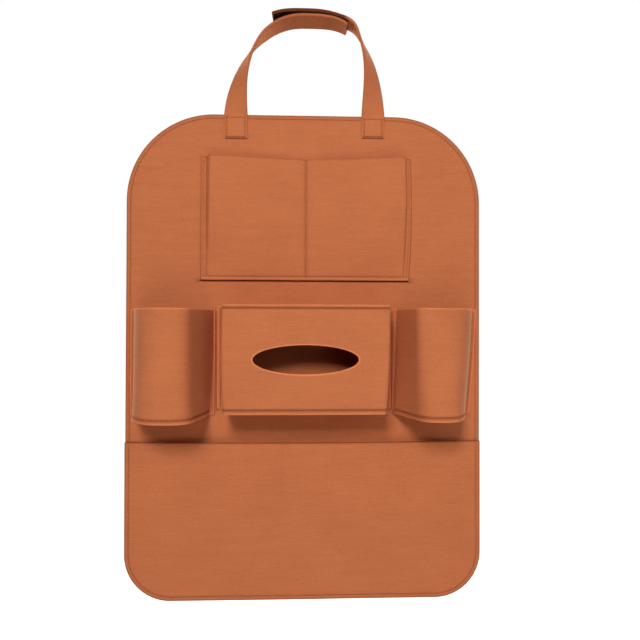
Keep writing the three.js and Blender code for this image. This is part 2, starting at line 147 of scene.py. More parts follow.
class NodeDesk:
    """Adds nodes to a tree and joins them, in fewer words."""

    DARKEST = 0.3
    SHADE_RANGE = 1.4
    DARK_SHARES = (0.3, 0.2, 0.18)

    def __init__(self, tree: bpy.types.NodeTree) -> None:
        """Keeps the tree."""
        self.tree = tree

    def add(self, kind: str, values: Optional[dict] = None, **settings: object) -> bpy.types.Node:
        """Adds one node.

        Args:
            kind: The node's type.
            values: Values or linked sockets for its inputs, by name or number.
            settings: Properties of the node.

        Returns:
            The node.
        """
        node = self.tree.nodes.new(kind)
        for label, value in settings.items():
            setattr(node, label, value)
        self.feed(node, values or {})
        return node

    def feed(self, node: bpy.types.Node, values: dict) -> None:
        """Gives a node's inputs values, or links them to sockets.

        Args:
            node: The node.
            values: The values or sockets, by the input's name or number.
        """
        for label, value in values.items():
            if isinstance(value, bpy.types.NodeSocket):
                self.tree.links.new(value, node.inputs[label])
            else:
                node.inputs[label].default_value = value

    def math(self, operation: str, first: object, second: object, clamp: bool = False) -> Socket:
        """Returns the result of a sum on two numbers or sockets."""
        values = {0: first, 1: second}
        return self.add("ShaderNodeMath", values, operation=operation, use_clamp=clamp).outputs[0]

    def noise(self, vector: object, scale: float, detail: float, roughness: float = 0.5) -> Socket:
        """Returns the value of a noise texture, spread round 0."""
        values = {"Vector": vector, "Scale": scale, "Detail": detail, "Roughness": roughness}
        return self.math("SUBTRACT", self.add("ShaderNodeTexNoise", values).outputs["Fac"], 0.5)

    def scaled(self, vector: object, *scale: float) -> Socket:
        """Returns a vector stretched along its axes."""
        return self.add("ShaderNodeMapping", {"Vector": vector, "Scale": scale}).outputs[0]

    def shaded(self, colour: tuple[float, float, float], shade: object) -> Socket:
        """Returns a colour that turns redder where the shade makes it darker.

        Args:
            colour: The colour at a shade of 1.
            shade: The shade, read between 0.3 and 1.7.

        Returns:
            The colour's socket.
        """
        above = self.math("SUBTRACT", shade, self.DARKEST)
        share = self.math("MULTIPLY", above, 1 / self.SHADE_RANGE, clamp=True)
        dark = tuple(part * low for part, low in zip(colour, self.DARK_SHARES))
        pale = tuple(2 * part - low for part, low in zip(colour, dark))
        values = {0: share, 6: (*dark, 1.0), 7: (*pale, 1.0)}
        return self.add("ShaderNodeMix", values, data_type="RGBA").outputs[2]


def new_material(name: str) -> tuple[bpy.types.Material, NodeDesk, bpy.types.Node]:
    """Makes a material with nodes.

    Args:
        name: The material's name.

    Returns:
        The material, a desk for its tree, and its shader.
    """
    material = bpy.data.materials.new(name)
    material.use_nodes = True
    tree = material.node_tree
    return material, NodeDesk(tree), tree.nodes["Principled BSDF"]


def felt_fibre_group() -> bpy.types.NodeTree:
    """Builds the group for matted fibre: streaks along the cloth, flecks, and a height.

    Returns:
        The group, which reads the piece's cloth UV map in metres.
    """
    inputs = {"Streak": 1.0, "Fleck": 1.0}
    outputs = {"Shade": "NodeSocketFloat", "Height": "NodeSocketFloat", "Roughness": "NodeSocketFloat"}
    tree = new_group("felt_fibre", inputs, outputs)
    desk = NodeDesk(tree)
    given = tree.nodes.new("NodeGroupInput").outputs
    cloth = desk.add("ShaderNodeUVMap", uv_map=CLOTH_UV).outputs[0]
    # The scales are in patches for each metre, along the cloth and across it
    streaks = desk.noise(desk.scaled(cloth, 55.0, 800.0, 1.0), 1.0, 3.0, 0.65)
    bands = desk.noise(desk.scaled(cloth, 14.0, 130.0, 1.0), 1.0, 2.0)
    flecks = desk.noise(desk.scaled(cloth, 300.0, 620.0, 1.0), 1.0, 4.0, 0.7)
    matted = desk.noise(desk.scaled(cloth, 900.0, 1500.0, 1.0), 1.0, 4.0, 0.7)
    clouds = desk.noise(cloth, 16.0, 2.0)
    streak_part = desk.math("MULTIPLY", streaks, 0.3)
    band_part = desk.math("MULTIPLY", bands, 0.13)
    fleck_part = desk.math("MULTIPLY", flecks, 0.34)
    cloud_part = desk.math("MULTIPLY", clouds, 0.16)
    lines = desk.math("MULTIPLY", desk.math("ADD", streak_part, band_part), given["Streak"])
    spots = desk.math("MULTIPLY", desk.math("ADD", fleck_part, cloud_part), given["Fleck"])
    shade = desk.math("ADD", desk.math("ADD", lines, spots), 1.0)
    height = desk.math("ADD", matted, streaks)
    rough = desk.math("ADD", desk.math("MULTIPLY", flecks, 0.16), 0.9, clamp=True)
    result = tree.nodes.new("NodeGroupOutput").inputs
    for label, socket in (("Shade", shade), ("Height", height), ("Roughness", rough)):
        tree.links.new(socket, result[label])
    return tree


def edge_and_crease_shade_group() -> bpy.types.NodeTree:
    """Builds the group that darkens pressed seams and paints shade or highlight at edges, creases and
    gaps.

    Returns:
        The group, which reads the two attributes that every felt piece carries.
    """
    inputs = {"Cut": 0.4, "Press": 0.3}
    tree = new_group("edge_and_seam_shade", inputs, {"Shade": "NodeSocketFloat"})
    desk = NodeDesk(tree)
    given = tree.nodes.new("NodeGroupInput").outputs
    cut = desk.add("ShaderNodeAttribute", attribute_name=CUT_EDGE_SHADE).outputs["Fac"]
    pressed = desk.add("ShaderNodeAttribute", attribute_name=PRESS_AND_SHADE).outputs["Fac"]
    by_cut = desk.math("MULTIPLY", cut, given["Cut"])
    by_press = desk.math("MULTIPLY", pressed, given["Press"])
    shade = desk.math("SUBTRACT", desk.math("SUBTRACT", 1.0, by_cut), by_press)
    tree.links.new(shade, tree.nodes.new("NodeGroupOutput").inputs["Shade"])
    return tree


@dataclass(frozen=True)
class FeltFinish:
    """Matt wool-like felt with faint heathered streaks."""

    colour: tuple[float, float, float] = (0.563, 0.167, 0.063)
    streak: float = 1.0
    fleck: float = 1.0
    # How strongly the painted cut-edge shade, and the seams' pressed felt with painted shade, show
    cut: float = 0.5
    press: float = 0.5
    bump: float = 0.5
    fibre_height: float = 0.25 * MM
    sheen: float = 0.2
    sheen_roughness: float = 0.3
    sheen_tint: tuple[float, float, float] = (0.95, 0.78, 0.5)
    shine: float = 0.15

    def build(self, name: str) -> bpy.types.Material:
        """Returns the material."""
        material, desk, shader = new_material(name)
        groups = bpy.data.node_groups
        heathered = {"Streak": self.streak, "Fleck": self.fleck}
        fibre = desk.add("ShaderNodeGroup", heathered, node_tree=groups["felt_fibre"])
        # Painted shade and highlight at cut edges, and pressed felt with painted shade along seams,
        # creases and gaps
        darkened = {"Cut": self.cut, "Press": self.press}
        worn = desk.add("ShaderNodeGroup", darkened, node_tree=groups["edge_and_seam_shade"])
        shade = desk.math("MULTIPLY", fibre.outputs["Shade"], worn.outputs["Shade"])
        height = fibre.outputs["Height"]
        relief = {"Height": height, "Strength": self.bump, "Distance": self.fibre_height}
        looks = {
            "Base Color": desk.shaded(self.colour, shade),
            "Roughness": fibre.outputs["Roughness"],
            "Normal": desk.add("ShaderNodeBump", relief).outputs[0],
            "Sheen Weight": self.sheen,
            "Sheen Roughness": self.sheen_roughness,
            "Sheen Tint": (*self.sheen_tint, 1.0),
            "Specular IOR Level": self.shine,
        }
        desk.feed(shader, looks)
        return material


@dataclass(frozen=True)
class ThreadFinish:
    """Twisted polyester thread, a little darker than the felt."""

    colour: tuple[float, float, float] = (0.36, 0.10, 0.032)
    twist_scale: float = 2600.0
    bump: float = 0.4
    twist_height: float = 0.1 * MM
    roughness: float = 0.7
    shine: float = 0.1

    def build(self, name: str) -> bpy.types.Material:
        """Returns the material."""
        material, desk, shader = new_material(name)
        place = desk.add("ShaderNodeTexCoord").outputs["Object"]
        twist = desk.noise(place, self.twist_scale, 2.0)
        shade = desk.math("ADD", desk.math("MULTIPLY", twist, 0.5), 1.0)
        relief = {"Height": twist, "Strength": self.bump, "Distance": self.twist_height}
        looks = {
            "Base Color": desk.shaded(self.colour, shade),
            "Normal": desk.add("ShaderNodeBump", relief).outputs[0],
            "Roughness": self.roughness,
            "Specular IOR Level": self.shine,
        }
        desk.feed(shader, looks)
        return material


@dataclass(frozen=True)
class TapeFinish:
    """Dark brown hook-and-loop tape, woven across, with or without a brushed pile."""

    colour: tuple[float, float, float] = (0.042, 0.013, 0.005)
    pile: float = 0.5
    pile_scale: float = 900.0
    weave_scale: float = 2400.0
    bump: float = 0.8
    pile_height: float = 0.4 * MM
    roughness: float = 0.85
    shine: float = 0.1

    def build(self, name: str) -> bpy.types.Material:
        """Returns the material."""
        material, desk, shader = new_material(name)
        place = desk.add("ShaderNodeTexCoord").outputs["Object"]
        pile = desk.noise(place, self.pile_scale, 4.0, 0.75)
        weave = desk.noise(place, self.weave_scale, 2.0)
        shade = desk.math("ADD", desk.math("MULTIPLY", pile, 0.9), 1.0)
        pile_part = desk.math("MULTIPLY", pile, self.pile)
        height = desk.math("ADD", pile_part, desk.math("MULTIPLY", weave, 0.3))
        relief = {"Height": height, "Strength": self.bump, "Distance": self.pile_height}
        looks = {
            "Base Color": desk.shaded(self.colour, shade),
            "Normal": desk.add("ShaderNodeBump", relief).outputs[0],
            "Roughness": self.roughness,
            "Specular IOR Level": self.shine,
        }
        desk.feed(shader, looks)
        return material


@dataclass
class Finishes:
    """Every material of the object, built once."""

    felt: bpy.types.Material = field(init=False)
    strap_felt: bpy.types.Material = field(init=False)
    thread: bpy.types.Material = field(init=False)
    hook: bpy.types.Material = field(init=False)
    loop: bpy.types.Material = field(init=False)

    def __post_init__(self) -> None:
        """Builds the shared groups and then the materials."""
        felt_fibre_group()
        edge_and_crease_shade_group()
        self.felt = FeltFinish().build("tan_felt")
        self.strap_felt = FeltFinish(streak=0.8).build("tan_strap_felt")
        self.thread = ThreadFinish().build("brown_thread")
        self.hook = TapeFinish(pile=0.2).build("hook_tape_brown")
        self.loop = TapeFinish(colour=(0.055, 0.018, 0.008), pile=0.7).build("loop_tape_brown")


# Cutting and bending felt


@dataclass(frozen=True)
class RoundedRect:
    """A flat rectangle with a radius at each corner, from the lower left one and on anticlockwise."""

    low: tuple[float, float]
    high: tuple[float, float]
    radii: tuple[float, float, float, float]
    step: float = 2.5 * MM

    def loop(self, inset: float) -> np.ndarray:
        """Returns points round the outline, always as many whatever the inset.

        Args:
            inset: How far inside the outline the points run.

        Returns:
            An array of points in order, with no point repeated at the end.
        """
        (left, bottom), (right, top) = self.low, self.high
        corners = [(left, bottom, 180.0), (right, bottom, 270.0), (right, top, 0.0), (left, top, 90.0)]
        inward = [(1, 1), (-1, 1), (-1, -1), (1, -1)]
        arcs = []
        for (x, y, start), (right_sign, up_sign), radius in zip(corners, inward, self.radii):
            middle = np.array([x + right_sign * radius, y + up_sign * radius])
            count = max(4, round(radius * math.pi / 2 / self.step))
            angles = np.radians(start + np.linspace(0.0, 90.0, count + 1))
            reach = radius - inset
            arcs.append(middle + reach * np.stack([np.cos(angles), np.sin(angles)], 1))
        sides = []
        sizes = [right - left, top - bottom, right - left, top - bottom]
        for index, arc in enumerate(arcs):
            after = arcs[(index + 1) % 4]
            clear = sizes[index] - self.radii[index] - self.radii[(index + 1) % 4]
            count = max(1, round(clear / self.step))
            share = np.linspace(0.0, 1.0, count + 1)[1:-1, None]
            sides += [arc, arc[-1] + (after[0] - arc[-1]) * share]
        return np.concatenate(sides)


@dataclass(frozen=True)
class Ellipse:
    """An oval hole in a pattern."""

    middle: tuple[float, float]
    half_width: float
    half_height: float
    count: int = 160
    step: float = 1.6 * MM

    def loop(self, inset: float) -> np.ndarray:
        """Returns points round the hole, with the inset measured into the cloth."""
        angles = np.linspace(0.0, 2 * math.pi, self.count, endpoint=False)
        across = (self.half_width + inset) * np.cos(angles)
        up = (self.half_height + inset) * np.sin(angles)
        return np.stack([self.middle[0] + across, self.middle[1] + up], 1)

    def holds(self, points: np.ndarray) -> np.ndarray:
        """Returns which points lie in the hole."""
        across = (points[:, 0] - self.middle[0]) / self.half_width
        up = (points[:, 1] - self.middle[1]) / self.half_height
        return across**2 + up**2 < 1.0


@dataclass(frozen=True)
class Seam:
    """A row of stitches or a crease on a pattern, with its pressed groove and the painted shade along it.
    """

    points: np.ndarray
    closed: bool = False
    front: float = 0.6 * MM
    back: float = 0.25 * MM
    stitched_front: bool = True
    stitched_back: bool = False
    width: float = 1.15 * MM
    # How much darker the groove is drawn, pressed felt and painted shade together; below 0 a painted
    # highlight
    dark: float = 0.8

    @staticmethod
    def line(*corners: tuple[float, float], **settings: object) -> "Seam":
        """Returns a seam through some corners."""
        return Seam(np.array(corners, float), **settings)

    @staticmethod
    def shaded_crease(*corners: tuple[float, float], **settings: float) -> "Seam":
        """Returns a pressed groove without thread, with painted shade along it, through some corners."""
        usual = {"front": 0.7 * MM, "width": 1.6 * MM, "dark": 0.6}
        return Seam.line(*corners, stitched_front=False, **{**usual, **settings})

    def underside(self) -> "Seam":
        """Returns the seam as it shows on the rear of the panel that it goes through."""
        sides = {"front": 0.0, "back": 0.4 * MM, "stitched_front": False, "stitched_back": True}
        return Seam(self.points, self.closed, dark=0.0, **sides)

    def samples(self, step: float) -> np.ndarray:
        """Returns points along the seam at about one spacing."""
        ends = np.concatenate([self.points, self.points[:1]]) if self.closed else self.points
        lengths = np.r_[0.0, np.cumsum(np.linalg.norm(np.diff(ends, axis=0), axis=1))]
        count = max(2, round(lengths[-1] / step)) + 1
        places = np.linspace(0.0, lengths[-1], count)
        return np.stack([np.interp(places, lengths, ends[:, axis]) for axis in (0, 1)], 1)


class PointSieve:
    """Takes points in order of rank and drops those that crowd the ones already taken."""

    def __init__(self) -> None:
        """Starts with nothing taken."""
        self.cell = 1.0 * MM
        self.taken: dict[tuple[int, int], list[tuple[float, float]]] = {}
        self.points: list[tuple[float, float]] = []

    def offer(self, points: np.ndarray, spacing: float) -> None:
        """Takes each point that has no neighbour closer than the spacing."""
        reach = math.ceil(spacing / self.cell)
        for x, y in points:
            column, row = int(x // self.cell), int(y // self.cell)
            near = (
                other
                for i in range(column - reach, column + reach + 1)
                for j in range(row - reach, row + reach + 1)
                for other in self.taken.get((i, j), ())
            )
            if all((x - a) ** 2 + (y - b) ** 2 >= spacing**2 for a, b in near):
                self.taken.setdefault((column, row), []).append((x, y))
                self.points.append((float(x), float(y)))


def distances(points: np.ndarray, samples: np.ndarray) -> np.ndarray:
    """Returns how far each flat point lies from the nearest of some samples."""
    tree = KDTree(len(samples))
    for index, (x, y) in enumerate(samples):
        tree.insert((x, y, 0.0), index)
    tree.balance()
    return np.array([tree.find((x, y, 0.0))[2] for x, y in points])


@dataclass
class FeltPiece:
    """One piece of felt: a flat pattern and the rule that bends it into place."""

    name: str
    outline: RoundedRect
    place: Callable[[np.ndarray], np.ndarray]
    seams: Sequence[Seam] = ()
    cell: tuple[float, float] = (6.0 * MM, 6.0 * MM)
    folds: Sequence[float] = ()
    hole: Optional[Ellipse] = None
    thickness: float = FELT
    thinned: Optional[Callable[[np.ndarray], np.ndarray]] = None
    # Shade painted on the outline's face rim and cut edge: above 0 darker, below 0 a painted highlight,
    # partly the felt's tone
    rim_shading: float = -0.6
    edge_shading: float = -1.0
    # A rule for extra darkening on the cut edge
    extra_edge_darkening: Optional[Callable[[np.ndarray], np.ndarray]] = None

    # A painted highlight round a hole's cut edge, standing in for its lit rim
    HOLE_RIM_HIGHLIGHT = -1.2
    # Pressed felt and painted shade along seams stitched on the rear
    REAR_GROOVE_SHADE = 0.5
    RIM_WIDTH = 1.0 * MM
    FACE_INSET = 0.55 * MM
    STITCH_LIFT = 0.12 * MM
    PUFF = 0.22
    PUFF_PLACE = 2.0 * MM
    PUFF_WIDTH = 1.6 * MM
    EDGE_ROWS = (1.4 * MM, 2.8 * MM)
    EDGE_CLEAR = 1.0 * MM
    EDGE_SPACING = 0.7 * MM
    SEAM_STEP = 2.5 * MM
    SEAM_SPACING = 0.75 * MM
    FOLD_SPACING = 0.6 * MM
    CELL_SHARE = 0.55
    SEAM_ROWS = (0.0, 1.0, -1.0, 2.1, -2.1, 3.6, -3.6)
    FOLD_ROWS = (-4.0, -3.0, -2.0, -1.0, 0.0, 1.0, 2.0, 3.0, 4.0)
    EDGE_PROFILE = ((0.16, 0.86), (0.0, 0.48), (-0.04, 0.0), (0.0, -0.48), (0.16, -0.86))

    def flat_points(self) -> tuple[np.ndarray, np.ndarray]:
        """Lays out the pattern's triangles.

        Returns:
            The flat points, which start with the outline's loop and then the hole's, and the triangles.
        """
        edge = self.outline.loop(self.FACE_INSET)
        rim = self.hole.loop(self.FACE_INSET) if self.hole else np.zeros((0, 2))
        sieve = PointSieve()
        sieve.offer(np.concatenate([edge, rim]), 0.0)
        fixed = len(edge) + len(rim)
        for inset in self.EDGE_ROWS:
            loops = [self.outline.loop(inset)] + ([self.hole.loop(inset)] if self.hole else [])
            sieve.offer(np.concatenate(loops), self.EDGE_SPACING)
        for seam in self.seams:
            middle = seam.samples(self.SEAM_STEP)
            along = np.gradient(middle, axis=0)
            along /= np.linalg.norm(along, axis=1)[:, None]
            across = np.stack([-along[:, 1], along[:, 0]], 1)
            for offset in self.SEAM_ROWS:
                sieve.offer(middle + across * offset * MM, self.SEAM_SPACING)
        (left, bottom), (right, top) = self.outline.low, self.outline.high
        rows = np.linspace(bottom, top, max(2, round((top - bottom) / self.cell[1])) + 1)
        for fold in self.folds:
            for offset in self.FOLD_ROWS:
                column = np.stack([np.full(len(rows), fold + offset * MM), rows], 1)
                sieve.offer(column, self.FOLD_SPACING)
        columns = np.linspace(left, right, max(2, round((right - left) / self.cell[0])) + 1)
        grid = np.stack(np.meshgrid(columns, rows), -1).reshape(-1, 2)
        sieve.offer(grid, self.CELL_SHARE * min(self.cell))
        points = np.array(sieve.points)
        clear = self.EDGE_CLEAR
        inside = (points[:, 0] > left + clear) & (points[:, 0] < right - clear)
        inside &= (points[:, 1] > bottom + clear) & (points[:, 1] < top - clear)
        inside &= self.clear_of_corners(points)
        if self.hole:
            inside &= ~self.hole.holds(points)
        inside[:fixed] = True
        points = points[inside]
        count = len(edge)
        borders = [(i, (i + 1) % count) for i in range(count)]
        borders += [(count + i, count + (i + 1) % len(rim)) for i in range(len(rim))]
        made = delaunay_2d_cdt([Vector(p) for p in points], borders, [], 1, 1e-7)
        flat = np.array([tuple(p) for p in made[0]])
        triangles = np.array([t for t in made[2] if len(t) == 3])
        if self.hole:
            middles = flat[triangles].mean(axis=1)
            triangles = triangles[~self.hole.holds(middles)]
        return flat, triangles

    def clear_of_corners(self, points: np.ndarray) -> np.ndarray:
        """Returns which points lie inside the rounded corners."""
        (left, bottom), (right, top) = self.outline.low, self.outline.high
        clear = np.ones(len(points), bool)
        places = [(left, bottom, 1, 1), (right, bottom, -1, 1), (right, top, -1, -1), (left, top, 1, -1)]
        for (x, y, right_sign, up_sign), radius in zip(places, self.outline.radii):
            across = (x + right_sign * radius - points[:, 0]) * right_sign
            up = (y + up_sign * radius - points[:, 1]) * up_sign
            out = np.hypot(across, up) > radius - self.EDGE_CLEAR
            clear &= ~((across > 0) & (up > 0) & out)
        return clear

    def pressing(self, flat: np.ndarray) -> tuple[np.ndarray, np.ndarray, list[np.ndarray]]:
        """Measures how far the seams press the felt down.

        Args:
            flat: Points of the pattern.

        Returns:
            How far the front and back go in, and each face's seam darkening: pressed felt and painted
            shade.
        """
        front, back, shades = np.zeros(len(flat)), np.zeros(len(flat)), [np.zeros(len(flat))] * 2
        for seam in self.seams:
            distance = distances(flat, seam.samples(1.0 * MM))
            groove = bell(distance, seam.width)
            puff = self.PUFF * bell(distance - seam.width - self.PUFF_PLACE, self.PUFF_WIDTH)
            front = np.maximum(front, seam.front * groove) - seam.front * puff
            back = np.maximum(back, seam.back * groove) - seam.back * puff
            # Pressed felt and painted shade along the seams, on the front, and on the rear where the seam
            # is stitched there
            rear_dark = self.REAR_GROOVE_SHADE if seam.stitched_back else 0.0
            for index, dark in enumerate((seam.dark, rear_dark)):
                shade = dark * groove
                shades[index] = np.where(np.abs(shade) > np.abs(shades[index]), shade, shades[index])
        if self.thinned:
            front = front + self.thinned(flat)
        return front, back, shades

    def rim_shade(self, flat: np.ndarray) -> np.ndarray:
        """Returns the painted shade or highlight near the outline and the painted highlight round a hole.
        """
        shade = np.zeros(len(flat))
        for shape, strength in ((self.outline, self.rim_shading), (self.hole, self.HOLE_RIM_HIGHLIGHT)):
            if shape:
                distance = distances(flat, shape.loop(0.0))
                near = np.sqrt(np.maximum(distance**2 - (0.4 * shape.step) ** 2, 0.0))
                shade += strength * bell(near, self.RIM_WIDTH)
        return shade

    def surface(self, flat: np.ndarray, out: np.ndarray) -> np.ndarray:
        """Returns places at a distance out from the felt's middle layer."""
        step = 0.05 * MM
        across = self.place(flat + (step, 0.0)) - self.place(flat - (step, 0.0))
        up = self.place(flat + (0.0, step)) - self.place(flat - (0.0, step))
        normal = np.cross(across, up)
        normal /= np.linalg.norm(normal, axis=1)[:, None]
        return self.place(flat) + normal * np.asarray(out)[:, None]

    def build(self, material: bpy.types.Material) -> bpy.types.Object:
        """Makes the closed felt piece, with round cut edges.

        Args:
            material: The felt's finish.

        Returns:
            The mesh object.
        """
        flat, triangles = self.flat_points()
        front, back, pressed = self.pressing(flat)
        rim_shade = self.rim_shade(flat)
        half = self.thickness / 2
        count = len(flat)
        places = [self.surface(flat, half - front), self.surface(flat, back - half)]
        flats, cuts, presses = [flat, flat], [rim_shade, rim_shade], list(pressed)
        faces = [tuple(t) for t in triangles] + [tuple(t[::-1] + count) for t in triangles]
        total, start = 2 * count, 0
        for shape in filter(None, (self.outline, self.hole)):
            size = len(shape.loop(0.0))
            rings = [np.arange(start, start + size)]
            for inset, height in self.EDGE_PROFILE:
                loop = shape.loop(inset * MM)
                lost = self.thinned(loop) if self.thinned and height > 0 else np.zeros(size)
                places.append(self.surface(loop, half * height - lost * abs(height)))
                flats.append(loop)
                # Painted shade or highlight on the outline's cut edge, and a painted highlight on a
                # hole's
                cut = np.full(size, self.edge_shading if shape is self.outline else self.HOLE_RIM_HIGHLIGHT)
                cuts.append(cut + self.extra_edge_darkening(loop) if self.extra_edge_darkening else cut)
                presses.append(np.zeros(size))
                rings.append(np.arange(total, total + size))
                total += size
            rings.append(np.arange(start, start + size) + count)
            for ring, after in zip(rings, rings[1:]):
                for i in range(size):
                    j = (i + 1) % size
                    quad = (ring[j], ring[i], after[i], after[j])
                    faces.append(quad if shape is self.outline else quad[::-1])
            start += size
        mesh = bpy.data.meshes.new(self.name)
        mesh.from_pydata(np.concatenate(places).tolist(), [], [tuple(int(i) for i in f) for f in faces])
        mesh.validate()
        uv_layer = mesh.uv_layers.new(name=CLOTH_UV)
        corner_vertices = np.zeros(len(mesh.loops), int)
        mesh.loops.foreach_get("vertex_index", corner_vertices)
        uv_layer.data.foreach_set("uv", np.concatenate(flats)[corner_vertices].ravel())
        for label, values in ((CUT_EDGE_SHADE, cuts), (PRESS_AND_SHADE, presses)):
            layer = mesh.attributes.new(label, "FLOAT", "POINT")
            layer.data.foreach_set("value", np.concatenate(values))
        face_outwards(mesh)
        mesh.shade_smooth()
        mesh.materials.append(material)
        return link(mesh, self.name)

    def stitch_lines(self) -> list[np.ndarray]:
        """Returns the middle of each row of stitches, on the faces where they show."""
        lines = []
        for seam in self.seams:
            flat = seam.samples(1.5 * MM)
            if seam.stitched_front:
                height = self.thickness / 2 - seam.front + self.STITCH_LIFT
                lines.append(self.surface(flat, np.full(len(flat), height)))
            if seam.stitched_back:
                height = self.thickness / 2 - seam.back + self.STITCH_LIFT
                lines.append(self.surface(flat, np.full(len(flat), -height)))
        return lines


def face_outwards(mesh: bpy.types.Mesh) -> None:
    """Turns a closed mesh the right way out."""
    shape = bmesh.new()
    shape.from_mesh(mesh)
    if shape.calc_volume(signed=True) < 0:
        bmesh.ops.reverse_faces(shape, faces=shape.faces)
    shape.to_mesh(mesh)
    shape.free()


@dataclass
class SoftPath:
    """A path in a plane with its corners rounded, measured along its length."""

    corners: np.ndarray
    softness: float = 3.0 * MM
    lengths: np.ndarray = field(init=False)

    def __post_init__(self) -> None:
        """Measures the path."""
        self.lengths = np.r_[0.0, np.cumsum(np.linalg.norm(np.diff(self.corners, axis=0), axis=1))]

    @property
    def length(self) -> float:
        """The path's whole length."""
        return float(self.lengths[-1])

    def sharp(self, along: np.ndarray) -> np.ndarray:
        """Returns places on the path before it is rounded, run on straight past its ends."""
        inside = np.stack([np.interp(along, self.lengths, self.corners[:, axis]) for axis in (0, 1)], 1)
        first = self.corners[1] - self.corners[0]
        last = self.corners[-1] - self.corners[-2]
        before = np.minimum(along, 0.0)[:, None] * first / np.linalg.norm(first)
        after = np.maximum(along - self.length, 0.0)[:, None] * last / np.linalg.norm(last)
        return inside + before + after

    def at(self, along: np.ndarray) -> np.ndarray:
        """Returns places on the rounded path."""
        offsets = np.linspace(-1.0, 1.0, 13)
        weights = 1.0 - offsets**2 * 0.5
        weights /= weights.sum()
        return sum(w * self.sharp(along + o * self.softness) for w, o in zip(weights, offsets))


# Stitches


class StitchRows:
    """Rows of thread stitches along curves, made by a geometry node tree."""

    def __init__(self, material: bpy.types.Material) -> None:
        """Builds the tree once for every row."""
        self.material = material
        self.tree = self.build_tree()

    @staticmethod
    def build_tree() -> bpy.types.NodeTree:
        """Builds the tree that sets one stitch at each step along a curve.

        Returns:
            The tree, with named inputs for the pitch, the stitch and its material.
        """
        tree = bpy.data.node_groups.new("stitch_row", "GeometryNodeTree")
        face = tree.interface
        face.new_socket("Rows", in_out="INPUT", socket_type="NodeSocketGeometry")
        sizes = {"Pitch": 3.3 * MM, "Stitch Length": 2.7 * MM, "Thread Radius": 0.38 * MM}
        for label, value in sizes.items():
            socket = face.new_socket(label, in_out="INPUT", socket_type="NodeSocketFloat")
            socket.default_value = value
        face.new_socket("Thread", in_out="INPUT", socket_type="NodeSocketMaterial")
        face.new_socket("Stitches", in_out="OUTPUT", socket_type="NodeSocketGeometry")
        desk = NodeDesk(tree)
        given = tree.nodes.new("NodeGroupInput").outputs
        stepped = {"Curve": given["Rows"], "Length": given["Pitch"]}
        rows = desk.add("GeometryNodeResampleCurve", stepped, mode="LENGTH")
        ball = desk.add("GeometryNodeMeshUVSphere", {"Segments": 6, "Rings": 5, "Radius": 1.0})
        half = desk.math("MULTIPLY", given["Stitch Length"], 0.5)
        radius = given["Thread Radius"]
        size = desk.add("ShaderNodeCombineXYZ", {"X": half, "Y": radius, "Z": radius}).outputs[0]
        stitch = desk.add("GeometryNodeTransform", {"Geometry": ball.outputs["Mesh"], "Scale": size})
        tangent = desk.add("GeometryNodeInputTangent").outputs[0]
        turn = desk.add("FunctionNodeAlignRotationToVector", {"Vector": tangent}, axis="X").outputs[0]
        placed = desk.add(
            "GeometryNodeInstanceOnPoints",
            {"Points": rows.outputs[0], "Instance": stitch.outputs[0], "Rotation": turn},
        )
        real = desk.add("GeometryNodeRealizeInstances", {"Geometry": placed.outputs[0]})
        soft = desk.add("GeometryNodeSetShadeSmooth", {"Geometry": real.outputs[0]})
        worn = {"Geometry": soft.outputs[0], "Material": given["Thread"]}
        dressed = desk.add("GeometryNodeSetMaterial", worn)
        tree.links.new(dressed.outputs[0], tree.nodes.new("NodeGroupOutput").inputs["Stitches"])
        return tree

    def sew(self, name: str, lines: Sequence[np.ndarray], pitch: float = 3.3 * MM) -> bpy.types.Object:
        """Sews stitches along some lines.

        Args:
            name: The piece's name.
            lines: The middles of the rows, as arrays of points.
            pitch: From one stitch to the next.

        Returns:
            The stitches as one plain mesh object.
        """
        curve = bpy.data.curves.new(name + "_rows", "CURVE")
        curve.dimensions = "3D"
        for line in lines:
            spline = curve.splines.new("POLY")
            spline.points.add(len(line) - 1)
            spline.points.foreach_set("co", np.c_[line, np.ones(len(line))].ravel())
        guide = link(curve, name + "_rows")
        modifier = guide.modifiers.new("stitches", "NODES")
        modifier.node_group = self.tree
        sockets = {s.name: s.identifier for s in self.tree.interface.items_tree if s.in_out == "INPUT"}
        modifier[sockets["Pitch"]] = pitch
        modifier[sockets["Thread"]] = self.material
        graph = bpy.context.evaluated_depsgraph_get()
        mesh = bpy.data.meshes.new_from_object(guide.evaluated_get(graph))
        mesh.name = name
        bpy.data.objects.remove(guide)
        return link(mesh, name)


def declare(piece: bpy.types.Object, nodes: Sequence[str] = ()) -> bpy.types.Object:
    """Makes a piece ride on the body and stand for its nodes, whose solids it hides.

    Args:
        piece: The finished piece.
        nodes: The solids that the piece stands for.

    Returns:
        The piece.
    """
    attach(piece, BODY)
    if nodes:
        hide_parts(*nodes)
    LOG.info("%s: %d faces", piece.name, len(piece.data.polygons))
    return piece


def sag(x: np.ndarray, z: np.ndarray) -> np.ndarray:
    """Returns how far the panel and all that is sewn to it bow out of the flat, in a few slow waves."""
    slow = np.sin(x * 11.0 + 0.6) * np.cos(z * 8.0 - 0.4)
    quick = np.sin(x * 23.0 - z * 17.0 + 1.3)
    return (0.35 * slow + 0.2 * quick) * MM


# The organizer's parts


@dataclass
class Makers:
    """What every sub-assembly needs to make its pieces."""

    finishes: Finishes
    stitches: StitchRows


